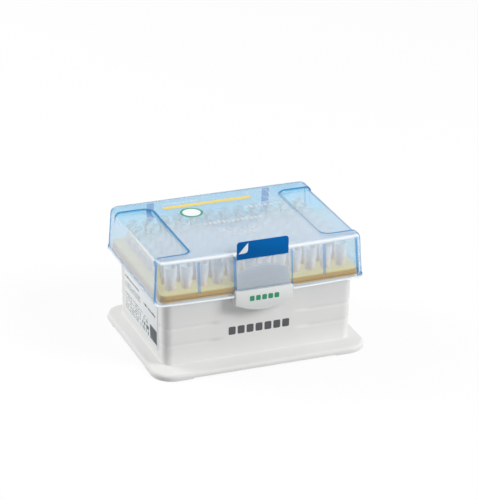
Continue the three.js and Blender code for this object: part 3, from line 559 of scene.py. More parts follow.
# %% Tub fittings
HINGE_X, HINGE, PIVOT = 34.8, (45.4, 43.0), (-41.45, 40.0)
KNUCKLE_HALF, HINGE_GAP, CHEEK_HALF = 1.9, 0.35, 0.9
CHEEK = [(37.6, 43.9), (37.6, 32.4), (43.9, 40.6), (42.9, 43.0), (43.4, 44.0)]


def gusset(x0, x1, outline, bevel=0.12):
    """Plate across X from a side outline of (y, z) points, with its two rims drawn in a little."""
    outline = np.array(outline, float)
    middle = outline.mean(0)
    rings = []
    for x, shrink in ((x0, bevel), (x0 + bevel, 0), (x1 - bevel, 0), (x1, bevel)):
        away = outline - middle
        size = np.linalg.norm(away, axis=1, keepdims=True)
        drawn = middle + away * (1 - shrink / size)
        rings.append(to_points(x, *drawn.T))
    return stacked(rings)


def tub_fittings():
    """Ears for the latch in front, cheeks for the hinge behind."""
    made = []
    for side in (-1, 1):
        x0, x1 = sorted((side * 12.55, side * 14.55))
        made += [washer_shell(2.0, 1.3, x0, x1, *PIVOT),
                 box_shell((x0, -40.1, 38.1), (x1, -37.6, 41.9), 0.1)]
        for step in (-1, 1):
            middle = side * HINGE_X + step * (KNUCKLE_HALF + HINGE_GAP + CHEEK_HALF)
            x0, x1 = middle - CHEEK_HALF, middle + CHEEK_HALF
            made += [washer_shell(2.6, 1.6, x0, x1, *HINGE), gusset(x0, x1, CHEEK)]
    return made


tub_shells = [stacked(tub_rings()), *foot_ribs(), *tub_fittings()]
# Painted shade on the rim's top band, full from just above the rim's lower edge upwards.
rim_painted_shade = ramp(tub_shells[0][0][:, 2], RIM_LOW + 0.9, 0.3)
others = np.zeros(sum(len(points) for points, faces in tub_shells[1:]))
make_piece("tub", tub_shells, WHITE_PLASTIC, "box", ["base_tub"],
           masks={"rim": np.concatenate([rim_painted_shade, others])})

# %% [markdown]
# The tray is a plate that drops over the rim, with a round hole for each tip on a 9 mm grid. Each
# cell of the grid is a square of points joined to a circle of points, so the hole has a clean round
# edge.

# %% Tray
PITCH, GRID_Y = 9.0, -0.85
COLUMNS, ROWS = 12, 8
DECK, DECK_LOW, SKIRT_LOW = 47.8, 46.2, 44.7
SIDE_STEP, HOLE_R = 1.5, 2.8
TRAY_X, TRAY_FRONT, TRAY_BACK, TRAY_R, TRAY_BOW = 57.5, 40.2, 42.2, 3.6, 0.85


def seat(row, column):
    """Where a tip stands. The grid's centre is at x = 0, y = GRID_Y, and row 0 is at the back."""
    return (column - 5.5) * PITCH, GRID_Y + (3.5 - row) * PITCH


def square_loop(half_x, half_y):
    """Points round a rectangle, one step apart, counter-clockwise from the lower left corner."""
    run_x, run_y = np.arange(-half_x, half_x, SIDE_STEP), np.arange(-half_y, half_y, SIDE_STEP)
    sides = ((run_x, -half_y), (half_x, run_y), (-run_x, half_y), (-half_x, -run_y))
    return np.concatenate([to_points(x, y) for x, y in sides])


def tray_outline(edge, inset):
    """The hole field's edge moved out to the tray's plan: scaled, rounded, and bowed in front."""
    front, back, wide = TRAY_FRONT - inset, TRAY_BACK - inset, TRAY_X - inset
    reach, (end_x, end_y) = (front + back) / 2, np.abs(edge).max(0)
    x, y = round_corners(edge[:, 0] / end_x * wide, edge[:, 1] / end_y * reach, wide, reach,
                         max(TRAY_R - inset, 0.4))
    y = y + (back - front) / 2
    return x, y - ramp(y, -30, -8) * TRAY_BOW * (1 - (x / wide) ** 2)


def tray_shell():
    """Welded shell: cells above and below, hole walls, a margin, a rounded edge and a skirt."""
    square = square_loop(PITCH / 2, PITCH / 2)
    circle = HOLE_R * square / np.linalg.norm(square, axis=1, keepdims=True)
    edge = square_loop(COLUMNS * PITCH / 2, ROWS * PITCH / 2)
    points, faces, index = [], [], {}

    def loop(xs, ys, z):
        """Point numbers of a loop; a point that is there already is used again."""
        numbers = []
        for x, y in zip(xs, ys):
            key = (round(x, 3), round(y, 3), round(z, 3))
            if key not in index:
                index[key] = len(points)
                points.append((x, y, z))
            numbers.append(index[key])
        return numbers

    def bands(loops):
        """Quads between each loop of point numbers and the next."""
        for first, second in zip(loops, loops[1:]):
            faces.extend([first[i], first[(i + 1) % len(first)], second[(i + 1) % len(first)],
                          second[i]] for i in range(len(first)))

    for row in range(ROWS):
        for column in range(COLUMNS):
            x, y = seat(row, column)
            bands([loop(x + ring[:, 0], y + ring[:, 1], z) for ring, z in (
                (square, DECK), (circle * 1.05, DECK), (circle, DECK - 0.15),
                (circle, DECK_LOW + 0.15), (circle * 1.05, DECK_LOW), (square, DECK_LOW))])
    field = edge[:, 0], edge[:, 1] + GRID_Y
    round_edge = [(0.9 * (1 - math.sin(a)), DECK - 0.9 * (1 - math.cos(a)))
                  for a in np.linspace(0, math.pi / 2, 6)]
    skirt = [(0, SKIRT_LOW + 0.2), (0.2, SKIRT_LOW), (1.5, SKIRT_LOW), (1.6, SKIRT_LOW + 0.1),
             (1.6, DECK_LOW)]
    margin = [loop(*tray_outline(edge, inset), z) for inset, z in round_edge + skirt]
    bands([loop(*field, DECK), *margin, loop(*field, DECK_LOW)])
    return shell(points, faces)


tray_points, tray_faces = tray_shell()
# Skirt mask: 1 from just below the top of the deck downwards, for the painted shade of the tray's
# side.
make_piece("tray", [(tray_points, tray_faces)], YELLOW_PLASTIC, "box",
           ["tip_tray"], masks={"skirt": ramp(tray_points[:, 2], DECK - 0.05, -0.6)})

# %% [markdown]
# A tip is a tapered tube, turned about its axis: a long shank, a shoulder that rests on the tray, a
# neck, a thicker collar and an open mouth. Eight fine ribs round the neck stiffen it. Tips are
# moulded in natural polypropylene, which is milky: light passes, but outlines behind it are soft.
# In a block of 96 tips a ray meets dozens of walls, and tracing the scatter in each would be slow
# and grainy. So the tips cast no shadow on each other, their shading leans upwards to the lamp, and
# after four clear surfaces the next one that a ray meets is solid milk. Near the tray the milk is
# painted warm: a painted glow that stands in for the yellow light that the deck throws up on it.

# %% Tips
SHOULDER = 48.1
TIP_CLEAR, TIP_MILK = (0.7, 0.4), 0.08
TIP_WALLS_SEEN, TIP_SHADOW_CLEAR, TIP_SOFT = 3.5, 0.9, 0.9
# TIP_WARM is painted light: the yellow light that the deck throws up on the tips near it.
TIP_TINT, TIP_WARM = screen(254, 249, 245), screen(255, 216, 168)
TIP_WARM_SPAN = ((SHOULDER - 0.5) * MM, (SHOULDER + 8.0) * MM, 1.0, 0.0)
TIP_PROFILE = [(0.25, -40.1), (0.48, -40.1), (0.55, -39.9), (1.5, -20.5), (2.45, -0.15), (2.5, 0.0),
               (2.9, 0.0), (2.95, 0.08), (3.14, 6.3), (3.2, 6.42), (3.34, 6.46), (3.38, 6.58),
               (3.53, 12.4), (3.5, 12.55), (3.05, 12.55), (3.0, 12.45), (3.0, 7.7), (2.1, 0.55),
               (1.1, -20.5), (0.25, -38.0)]
TIP_SIDES, NECK, NECK_RIBS, RIB_PROUD = 48, (7, 8), 8, 0.14


def tip_material():
    """Milky plastic: light passes straight through the middle of a wall, less through its edges."""
    material, tree = blank_material("tip_plastic")
    height = node(tree, "SeparateXYZ", object_place(tree)).outputs["Z"]
    # Near the tray the tone turns to TIP_WARM, painted light from the yellow deck.
    low = node(tree, "MapRange", height, *TIP_WARM_SPAN)
    tone = blend(tree, low, TIP_TINT, TIP_WARM)
    surface, look = moulded_surface(tree, tone, 0.03, 0.1, 0.3, IOR=1.49, Specular_IOR_Level=0.15)
    lifted = node(tree, "VectorMath", look["Normal"], (0, 0, TIP_SOFT), operation="ADD")
    normal = node(tree, "VectorMath", lifted, operation="NORMALIZE").outputs[0]
    tree.links.new(normal, surface.inputs["Normal"])
    milk = node(tree, "MixShader", TIP_MILK, surface, node(tree, "BsdfTranslucent", tone, normal))
    clear = node(tree, "BsdfTransparent", screen(254, 254, 254))
    slant = node(tree, "LayerWeight").outputs["Facing"]
    share = node(tree, "MapRange", slant, 0.0, 1.0, *TIP_CLEAR)
    rays = node(tree, "LightPath").outputs
    near = maths(tree, "LESS_THAN", rays["Transparent Depth"], TIP_WALLS_SEEN)
    share = maths(tree, "MULTIPLY", maths(tree, "MULTIPLY_ADD", low, -0.9, 1.0), share)
    lit = maths(tree, "MULTIPLY", rays["Is Shadow Ray"], TIP_SHADOW_CLEAR)
    most = maths(tree, "MAXIMUM", maths(tree, "MULTIPLY", near, share), lit)
    node(tree, "OutputMaterial", node(tree, "MixShader", most, milk, clear))
    return material


def tip_shell(x, y):
    """The profile turned about (x, y); on the neck every sixth line of points is a fine rib."""
    is_rib = np.arange(TIP_SIDES) % (TIP_SIDES // NECK_RIBS) == 0
    reaches = [r + RIB_PROUD * is_rib * (k in NECK) for k, (r, z) in enumerate(TIP_PROFILE)]
    return ring_shell([at_height(arc(x, y, reach, full_turn(TIP_SIDES)), SHOULDER + z)
                       for reach, (r, z) in zip(reaches, TIP_PROFILE)])


TIP = tip_material()
rear, tips = [], []
for row in range(ROWS):
    for column in range(COLUMNS):
        fine = tip_shell(*seat(row, column))
        if row < ROWS - 2:
            rear.append(fine)
            continue
        name = f"tip_{'ABCDEFGH'[row]}{column + 1:02d}"
        tips.append(make_piece(f"fine_{name}", [fine], TIP, "box", [name]))
tips.append(make_piece("rear_tips", rear, TIP, "box"))
for piece in tips:
    piece.visible_shadow = piece.visible_diffuse = False

# %% [markdown]
# The lid is one clear moulding. Its top is laid out as a grid of lines in x and y, and its walls
# are rings that carry on downwards from the grid's edge. The inner surface has the same lines, one
# wall thickness further in, and the two are joined along the lower edge. Every step in the form is
# a displacement at lines put there for it, so the lines come first.

# %% Lid sizes and lines
LID_LOW, LID_TOP, LID_WALL = 42.45, 67.4, 1.25
LID_X, LID_FRONT, LID_BACK = 60.4, 42.33, 45.69
DRAFT_X, DRAFT_FRONT, DRAFT_BACK = 1.2, 1.9, 1.44
LID_BOW, BOW_LOSS, LIP = 2.1, 0.6, 0.25
EDGE_R, CORNER_R = 3.0, 4.0
RECESS_X, RECESS_Y, RECESS_R, RECESS_DEEP = 38.5, 32.5, 5.0, 1.45
PANEL_X, PANEL_PROUD, POCKET_X = 16.7, 1.45, 15.2
RIB_X, RIB_Z, POST_X, POST_TOP = (35.55, 37.25), (46.6, 65.3), (32.9, 36.7), 65.3
FRONT_NOTCH, BACK_NOTCH, NOTCH_SPAN = (-1, 17.2, 46.9), (30.0, 39.6, 46.35), 1.2
SEAM_X, MARK_STEP = 54.95, 0.05
X_MARKS = (POCKET_X, PANEL_X, 17.2, 30.0, 32.9, 35.55, 36.7, 37.25, 39.6, SEAM_X)
Y_MARKS, X_CLOSE, Y_CLOSE = (38.09,), (36.2, 44.2), (26.6, 35.4)
LEVELS = np.concatenate([np.linspace(1, 0.12, 14), [0.09, 0.075, 0.068, 0.03, 0.0]])


def lid_lines(half, marks, dense, edge_r):
    """Lines across the lid, close at its round edge and at the recess, with pairs at the marks."""
    a, b = dense
    flat_end = half - edge_r
    rounded = half - edge_r * (1 - np.cos(np.linspace(0, math.pi / 2, 9)[:-1]))
    late = [m + s * MARK_STEP for m in marks if a < m < flat_end for s in (-1, 1)]
    side = np.sort(np.concatenate([rounded, np.linspace(flat_end, b, 7)[:-1],
                                   np.arange(b, a, -0.3), late]))
    pairs = [s * m for m in marks if m < a for s in (-1, 1)]
    return np.concatenate([-side[::-1], fixed_lines(-a, a, 3.2, pairs, MARK_STEP), side])


def recess_distance(x, y, grow):
    """Distance to the rounded outline of the low ends, positive on the high middle."""
    half, radius = RECESS_Y + grow, RECESS_R + grow
    qx = (RECESS_X - grow + radius) - np.abs(x)
    qy = np.abs(y) - (half - radius)
    outside = np.hypot(np.maximum(qx, 0), np.maximum(qy, 0)) + np.minimum(np.maximum(qx, qy), 0)
    return outside - radius


print("lines across the lid:", len(lid_lines(LID_X, X_MARKS, X_CLOSE, EDGE_R)))

# %% [markdown]
# Each surface starts as the flat grid. Its corners are drawn round, its edge falls over a quarter
# circle, and two low ends are left beside the raised middle. In the real lid, light runs inside the
# plastic and leaves it where the surface turns, so the step round the middle shows as a blue line
# and the rounded front edge as a white gleam. Two masks say where, from how far the surface leans.

# %% Lid surfaces
def bell(value, centre, width):
    """exp(-((value - centre) / width)^2)."""
    return np.exp(-((value - centre) / width) ** 2)


def top_lines(x, y, middle, half_x, half_y, lean, beyond):
    """Masks on the outside of the top: the blue lines and the gleam."""
    to_side, to_front, to_back = half_x - np.abs(x), half_y + y, half_y - y
    near = smooth(y + middle, -27.5, -5)
    step = bell(beyond, 0.42 + 0.7 * near, 0.42 + 0.38 * near)
    right = bell(lean, 0.95, 0.25) * ((x > 0) & (to_side < to_front))
    back = 0.45 * bell(lean, 1.2, 0.3) * (to_back < to_side)
    bright = np.where(to_front < to_side, 1.0, 0.75 * (x < 0) * smooth(y, 22, -30)) * (y < 22)
    gleam = bell(lean, 0.8, np.where(to_front < to_side, 0.3, 0.2)) * bright
    return np.maximum.reduce([step, right, back]), gleam


def lid_surface(inner):
    """Points of one surface, a grid over the top and then rings down the walls, with the grid's
    shape, its outline and the two masks."""
    inset = LID_WALL if inner else 0
    wall, top, edge_r = LIP + inset, LID_TOP - inset, EDGE_R - inset
    half_x, front = LID_X - DRAFT_X - wall, LID_FRONT - DRAFT_FRONT - wall
    back = LID_BACK - DRAFT_BACK - wall
    middle, half_y = (back - front) / 2, (back + front) / 2
    x, y = np.meshgrid(lid_lines(half_x, X_MARKS, X_CLOSE, edge_r),
                       lid_lines(half_y, Y_MARKS, Y_CLOSE, edge_r))
    away = np.maximum(np.minimum(half_x - np.abs(x), half_y - np.abs(y)), 0)
    x, y = round_corners(x, y, half_x, half_y, CORNER_R - inset)
    drop = edge_r - np.sqrt(np.maximum(edge_r ** 2 - np.maximum(edge_r - away, 0) ** 2, 0))
    beyond = recess_distance(x, y + middle, inset)
    z = top - RECESS_DEEP * smooth(beyond, 0.5, -1) - drop

    high, wide = x.shape
    loop = np.concatenate([np.arange(wide - 1), wide * np.arange(1, high) - 1,
                           high * wide - 1 - np.arange(wide - 1),
                           wide * np.arange(high - 1, 0, -1)])
    start = to_points(x.ravel(), (y + middle).ravel(), z.ravel())
    edge = start[loop]
    rings = [at_height(edge[:, :2], LID_LOW + (edge[:, 2] - LID_LOW) * level)
             for level in LEVELS[1:]]
    lean = np.arcsin(np.clip(1 - drop / edge_r, 0, 1))
    walls = np.zeros(len(edge) * len(rings))
    line, gleam = (np.concatenate([(not inner) * values.ravel(), walls])
                   for values in top_lines(x, y, middle, half_x, half_y, lean, beyond))
    return np.concatenate([start, *rings]), (high, wide), loop, line, gleam


print("points on the outside of the lid:", len(lid_surface(False)[0]))

# %% [markdown]
# The form follows. The walls lean in for draft and the front bows out. Notches in the lower edge
# make room for the latch and the hinge, a lip stiffens that edge, and a raised panel in front
# carries the seal, with a rib at each side of it inside and two posts at the back. Their edges
# catch blue light too.

# %% Lid form and masks
def lid_form(points, inner):
    """Notches, draft, bow, lip, panel, ribs and posts, in that order; returns points and tint."""
    x, y, z = points.T.copy()
    wall = LIP + (LID_WALL if inner else 0)
    plain_x, plain_y, ax = points[:, 0], points[:, 1], np.abs(points[:, 0])
    forward = plain_y < -36
    at_front = plain_y < -(LID_FRONT - DRAFT_FRONT - wall) + 0.01
    at_back = plain_y > LID_BACK - DRAFT_BACK - wall - 0.01
    post = between(ax, *POST_X) & at_back

    for side, (x0, x1, roof) in ((at_front, FRONT_NOTCH), (at_back, BACK_NOTCH)):
        end = roof + NOTCH_SPAN
        raised = roof + (z - LID_LOW) * NOTCH_SPAN / (end - LID_LOW)
        z = np.where(side & between(ax, x0, x1) & (z < end), raised, z)

    rise = (z - LID_LOW) / (LID_TOP - LID_LOW)
    x = x + np.sign(x) * DRAFT_X * (1 - rise) * smooth(ax, 45, 11)
    front, back = smooth(y, -34, -5), smooth(y, 34, 6)
    y = y - DRAFT_FRONT * (1 - rise) * front + DRAFT_BACK * (1 - rise) * back
    across = x / (LID_X - DRAFT_X * rise)
    y = y - (LID_BOW - BOW_LOSS * rise) * np.maximum(1 - across ** 2, 0) * front

    if inner:
        rib = between(ax, *RIB_X) & at_front
        y = y - PANEL_PROUD * ((ax < POCKET_X) & forward) * ramp(z, 63.95, -0.2)
        y = y + 0.85 * rib * ramp(z, RIB_Z[0], 0.6) * ramp(z, RIB_Z[1] - 0.1, -0.85)
        y = y - 1.0 * post * ramp(z, POST_TOP, -0.3)
        tints = [0.55 * (rib & between(z, *RIB_Z)), post & (z < POST_TOP)]
        return to_points(x, y, z), np.maximum.reduce(tints)

    panel, lip = (ax < PANEL_X) & forward, ramp(z, 44.3, -0.2)
    x = x + np.sign(x) * LIP * lip * (ax > 55)
    y = y + LIP * lip * (1.0 * (y > 40) - (y < -38))
    y = y - PANEL_PROUD * panel * ramp(z, 66.45, -1.45)
    corner = np.maximum(-plain_y - 36.18, plain_y - 40.0)
    high = np.where(plain_x > 0, smooth(z, 53, 7), smooth(z, 59, 4))
    # The panel's band just above its lower edge is a painted dark blue line: painted shade of the gap
    # between the panel and the latch.
    tints = [0.1 * lip, 0.5 * panel * ramp(z, 47.9, -0.6), 0.7 * (post & (z < POST_TOP)),
             0.6 * (between(ax, 16.6, 16.8) & (plain_y < -38) & (z < 66)),
             0.9 * (ax > 58) * bell(plain_y, 33.0, 0.5) * high,
             0.9 * (ax > 58) * bell(corner, 0, 0.9),
             0.9 * ((plain_y < -39) & (plain_x > 0)) * bell(ax, SEAM_X, 0.6)]
    return to_points(x, y, z), np.maximum.reduce(tints)


def surface_faces(shape, loop, offset):
    """Quads of the top grid and of the rings below it, and the last ring."""
    faces = [[i + offset for i in face] for face in grid_faces(*shape)]
    previous, first = loop + offset, offset + shape[0] * shape[1]
    for k in range(len(LEVELS) - 1):
        current = first + k * len(loop) + np.arange(len(loop))
        faces += ring_quads(previous, current)
        previous = current
    return faces, previous


def ring_quads(first, second):
    return np.stack([first, second, np.roll(second, -1), np.roll(first, -1)], 1).tolist()


def lid_shell():
    """Both surfaces joined along the lower edge, with four masks: blue edges, white gleam, deep
    blue plastic, and haze, which is partly painted light."""
    surfaces, offset = [], 0
    for inner in (False, True):
        flat, shape, loop, line, gleam = lid_surface(inner)
        points, tint = lid_form(flat, inner)
        lower = ramp(points[:, 2], 43.75, -0.4) * np.where(points[:, 1] < -38, 0.8, 0.3)
        surfaces.append((points, np.maximum(tint, line), np.maximum(gleam, lower * (not inner)),
                         *surface_faces(shape, loop, offset)))
        offset += len(points)
    *values, (outer_faces, inner_faces), (outer_edge, inner_edge) = zip(*surfaces)
    points, tint, gleam = (np.concatenate(both) for both in values)
    faces = outer_faces + [face[::-1] for face in inner_faces] + ring_quads(outer_edge, inner_edge)
    x, y, z = points.T
    to_ends = 0.5 + 0.4 * smooth(np.abs(x), 36, 3)
    deep = [smooth(y, 38, 4), 0.92 * smooth(x, 56, 3), to_ends * smooth(z, 64.5, 1.2)]
    # The haze is partly the plastic's own (0.12 all over) and partly painted light: it is laid on
    # thicker over the tips, on the left wall and on the front, and lightens them.
    over_tips = 0.75 + 1.05 * smooth(y, 12, -25)
    on_front = (0.4 + 1.3 * smooth(z, 47, 4)) * smooth(y, -38, -2)
    haze = [over_tips * smooth(z, 64.5, 1.5), 1.2 * smooth(x, -55, -3), on_front,
            np.full(len(x), 0.12)]
    return shell(points, faces), {"edge": tint, "gleam": gleam, "deep": np.maximum.reduce(deep),
                                  "haze": np.maximum.reduce(haze)}


lid_form_shell, lid_masks = lid_shell()
print("lid:", len(lid_form_shell[0]), "points, masks", list(lid_masks))

# %% [markdown]
# Two arms reach back from the posts and end in knuckles, whose pegs turn in the cheeks of the tub.
# They are moulded with the lid, from the same clear plastic.

# %% Lid hinge
KNUCKLE_R, PEG_R, PEG_END = 2.2, 1.3, 3.8
HINGE_ARM = [(43.5, 43.2), (47.3, 43.5), (45.0, 50.0), (43.4, 50.0), (43.2, 46.6)]


def hinge_shells():
    """Knuckles with pegs, and the arms that join them to the posts."""
    made = []
    for x in (-HINGE_X, HINGE_X):
        made += [bar_shell(KNUCKLE_R, x - KNUCKLE_HALF, x + KNUCKLE_HALF, *HINGE),
                 bar_shell(PEG_R, x - PEG_END, x - 1.8, *HINGE, 24),
                 bar_shell(PEG_R, x + 1.8, x + PEG_END, *HINGE, 24),
                 gusset(x - KNUCKLE_HALF, x + KNUCKLE_HALF, HINGE_ARM)]
    return made


hinges = hinge_shells()
hinge_points = sum(len(points) for points, faces in hinges)
print("hinge parts:", len(hinges), "shells,", hinge_points, "points")

# %% [markdown]
# The lid is polystyrene as clear as glass, but what makes it look like a lid is what it adds: a
# slight haze that is stronger where the wall is seen at a slant, blue in its thickness, blue light
# led out at edges, and a soft gleam on rounded rims. The gleam is a rough mirror of the pale
# surroundings, so it needs no lamp. Shadow and diffuse rays go straight through, or the inside
# would go dark and noisy.

# %% Lid finish
LID_CLEAR, LID_BLUE = screen(253, 254, 255), screen(198, 238, 254)
LID_HAZE, LID_HAZE_MOST, LID_HAZE_TINT = 0.115, 0.45, screen(225, 232, 249)
LID_EDGE, LID_EDGE_TINT, LID_GLEAM_TINT = 0.95, screen(4, 136, 202), screen(253, 254, 255)
LID_DEEP, LID_DEEP_AMOUNT = screen(0, 203, 242), 70.0


def scatter(tree, tint, through):
    """Light thrown back and a share of it let through."""
    return node(tree, "MixShader", through, node(tree, "BsdfDiffuse", tint),
                node(tree, "BsdfTranslucent", tint))


def slant_share(tree, base, most):
    """A thin layer seen at a slant is thicker: base / cos(angle), but at most `most`."""
    cosine = maths(tree, "SUBTRACT", 1.04, node(tree, "LayerWeight").outputs["Facing"])
    return maths(tree, "MINIMUM", maths(tree, "DIVIDE", base, cosine), most)


def lid_material():
    """Clear plastic in layers: glass, haze, blue edges and gleam, and nothing for rays of light."""
    material, tree = blank_material("clear_lid")
    flow = node(tree, "TexNoise", Vector=object_place(tree), Scale=22.0, Detail=2.0)
    bump = node(tree, "Bump", Strength=0.06, Distance=0.0006, Height=flow)
    tone = blend(tree, mask(tree, "deep"), LID_CLEAR, LID_BLUE)
    look = node(tree, "BsdfPrincipled", Base_Color=tone, IOR=1.45, Roughness=0.03,
                Transmission_Weight=1.0, Normal=bump)
    veil = maths(tree, "MULTIPLY", slant_share(tree, LID_HAZE, LID_HAZE_MOST), mask(tree, "haze"))
    led = maths(tree, "MULTIPLY", mask(tree, "edge"), LID_EDGE)
    mirror = node(tree, "BsdfAnisotropic", Color=LID_GLEAM_TINT, Roughness=0.3)
    for share, layer in ((veil, scatter(tree, LID_HAZE_TINT, 0.2)),
                         (led, scatter(tree, LID_EDGE_TINT, 0.5)), (mask(tree, "gleam"), mirror)):
        look = node(tree, "MixShader", share, look, layer)
    rays = node(tree, "LightPath").outputs
    light = maths(tree, "MAXIMUM", rays["Is Shadow Ray"], rays["Is Diffuse Ray"])
    look = node(tree, "MixShader", light, look, node(tree, "BsdfTransparent"))
    inside = node(tree, "VolumeAbsorption", Color=LID_DEEP, Density=LID_DEEP_AMOUNT)
    node(tree, "OutputMaterial", look, inside)
    return material


lid_masks = {name: np.concatenate([values, np.full(hinge_points, 0.5)])
             for name, values in lid_masks.items()}
make_piece("lid_shell", [lid_form_shell, *hinges], lid_material(), "hinged_lid",
           ["lid"], crease=52, masks=lid_masks)

# %% [markdown]
# The latch turns on two short trunnions under the rim. Its lip is the part that a finger pulls, and
# its arched tongue stands behind the lid's panel and holds the lid shut.

# %% Latch
def arch(half, side_z, crown, low_z, count=17):
    """Tongue outline from the front: straight sides up to side_z, then a shallow arch."""
    x = np.linspace(half, -half, count)
    top = np.stack([x, side_z + crown * (1 - (x / half) ** 2)], 1)
    return np.concatenate([[(-half, low_z), (half, low_z)], top])


def shrink(outline, amount):
    """Moves each corner of an outline inwards along the mean of its two edge normals."""
    before, after = np.roll(outline, 1, 0), np.roll(outline, -1, 0)
    e1, e2 = outline - before, after - outline
    e1 /= np.linalg.norm(e1, axis=1, keepdims=True)
    e2 /= np.linalg.norm(e2, axis=1, keepdims=True)
    n1, n2 = np.stack([-e1[:, 1], e1[:, 0]], 1), np.stack([-e2[:, 1], e2[:, 0]], 1)
    return outline + amount * (n1 + n2) / (1 + (n1 * n2).sum(1, keepdims=True))


def front_sheet(outline, front, thick, bevel=0.2, lean=0.0, level=0.0):
    """Sheet with round rims from an outline of (x, z). Its face is y = front + lean (z - level)."""
    loops = []
    for depth, inset in ((0, bevel), (bevel * 0.3, bevel * 0.3), (bevel, 0), (thick - bevel, 0),
                         (thick - bevel * 0.3, bevel * 0.3), (thick, bevel)):
        x, z = shrink(outline, inset).T
        loops.append(to_points(x, front + lean * (z - level) + depth, z))
    return stacked(loops)


LIP_X, LIP_Y = 16.65, -45.18
SIDE_PLATE = [(-44.4, 36.75), (-38.75, 36.75), (-38.75, 41.75), (-42.0, 41.75), (-42.1, 44.9),
              (-44.4, 44.9)]


def latch_shells():
    """Tongue, fold, lip with a bellied lower edge, side plates and trunnions."""
    x = np.linspace(-LIP_X, LIP_X, 23)
    belly = np.stack([x, 37.9 - 4.2 * (1 - (x / LIP_X) ** 2)], 1)
    lip = np.concatenate([belly, [(LIP_X, 45.4), (16.2, 45.85), (-16.2, 45.85), (-LIP_X, 45.4)]])
    made = [front_sheet(arch(14.8, 55.3, 3.6, 44.0), -43.53, 1.3, lean=0.112, level=46.9),
            front_sheet(lip, LIP_Y, 1.4, 0.25),
            box_shell((-16.4, -44.2, 43.6), (16.4, -42.3, 45.8), 0.2)]
    for side in (-1, 1):
        made.append(gusset(*sorted((side * 15.35, side * 16.62)), SIDE_PLATE))
        made.append(bar_shell(1.0, *sorted((side * 12.4, side * 16.0)), *PIVOT, 24))
    return made


latch_parts = latch_shells()
tongue_points, other_points = len(latch_parts[0][0]), sum(len(p) for p, f in latch_parts[1:])
# The thin mask marks the tongue for its painted shade.
make_piece("latch", latch_parts, LATCH_PLASTIC, "front_latch", ["latch_tab"],
           masks={"thin": np.repeat([1.0, 0.0], [tongue_points, other_points])})

# %% [markdown]
# A strip of clear film is stuck down the panel, and a stiff blue tab stands up from its upper end.
# The tab is pulled to break the seal; a small peeled corner is printed on it in white to show how.
# The film is so thin that bending light in it would only cost time, so it is a little gloss over
# clear air.

# %% Seal
FILM_FOLD, FILM_LEFT, FILM_RIGHT = 65.0, -16.2, 15.0


def panel_front(z):
    """Outer y of the panel in the middle: the front wall's draft and bow, and the panel's rise."""
    rise = (z - LID_LOW) / (LID_TOP - LID_LOW)
    return -(LID_FRONT - DRAFT_FRONT * rise + LID_BOW - BOW_LOSS * rise - LIP) - PANEL_PROUD


def rounded_outline(x0, x1, z0, z1, lower, upper, steps=6):
    """Counter-clockwise outline with its own corner radii at the lower and upper ends."""
    turn = np.linspace(0, math.pi / 2, steps + 1)
    corners = ((x0 + lower, z0 + lower, lower), (x1 - lower, z0 + lower, lower),
               (x1 - upper, z1 - upper, upper), (x0 + upper, z1 - upper, upper))
    return np.concatenate([arc(*corner, start + turn) for corner, start in zip(corners, QUARTERS)])

def thin_layer(name, tint, cover, scale, detail, **settings):
    """A layer so thin that what is under it still shows; noise varies the share that it covers."""
    material, tree = blank_material(name)
    noise = node(tree, "TexNoise", Vector=object_place(tree), Scale=scale, Detail=detail)
    share = node(tree, "MapRange", noise, 0.0, 1.0, *cover)
    gloss = node(tree, "BsdfPrincipled", Base_Color=tint, **settings)
    node(tree, "OutputMaterial",
         node(tree, "MixShader", share, node(tree, "BsdfTransparent"), gloss))
    return material


def film_loop(depth, rows):
    """Up the left edge of the film and down the right; above the fold it stands straight up."""
    side = [(panel_front(min(z, FILM_FOLD)) - depth, z) for z in rows]
    return [(FILM_LEFT, *point) for point in side] + [(FILM_RIGHT, *point) for point in side[::-1]]


FILM = thin_layer("film", screen(246, 246, 250), (0.09, 0.19), 90.0, 3.0, Roughness=0.12, IOR=1.4)
FOIL = moulded_material("blue_foil", screen(6, 102, 178), variation=0.08, grain=0.05, polish=0.5,
                        shine=0.08)
WHITE_PRINT = moulded_material("white_print", screen(244, 246, 247), variation=0.02, polish=0.4)
film_rows = [*np.linspace(47.1, FILM_FOLD, 9), 67.6]
make_piece("film_strip", [stacked([film_loop(depth, film_rows) for depth in (0.3, 0.6)])], FILM,
           "hinged_lid", ["seal_film"])
tab_face = panel_front(FILM_FOLD) - 0.9
tab_outline = rounded_outline(-16.1, 13.7, 64.5, 74.8, 0.3, 1.7)
make_piece("seal_tab", [front_sheet(tab_outline, tab_face - 0.4, 0.4, 0.1)], FOIL, "hinged_lid",
           ["pull_tab"])
peel = np.array([(-15.2, 67.9), (-11.6, 68.0), (-10.4, 68.5), (-9.8, 69.6), (-9.7, 73.9),
                 (-11.3, 72.3), (-13.3, 70.1)])
make_piece("peel_mark", [front_sheet(peel, tab_face - 0.43, 0.1, 0.02)], WHITE_PRINT, "hinged_lid")

# %% [markdown]
# A paper label covers most of the tub's left end. Its print is made by the shader from the label's
# own y and z: rows of short dashes like small print, two bolder rows, a few marks and one solid
# block.

# %% Label
PAPER, SMALL_PRINT = screen(240, 243, 244), screen(92, 98, 104)
FIELD_INPUTS = ("From Y", "To Y", "From Z", "To Z", "Pitch", "Fill", "Dash", "Cover")


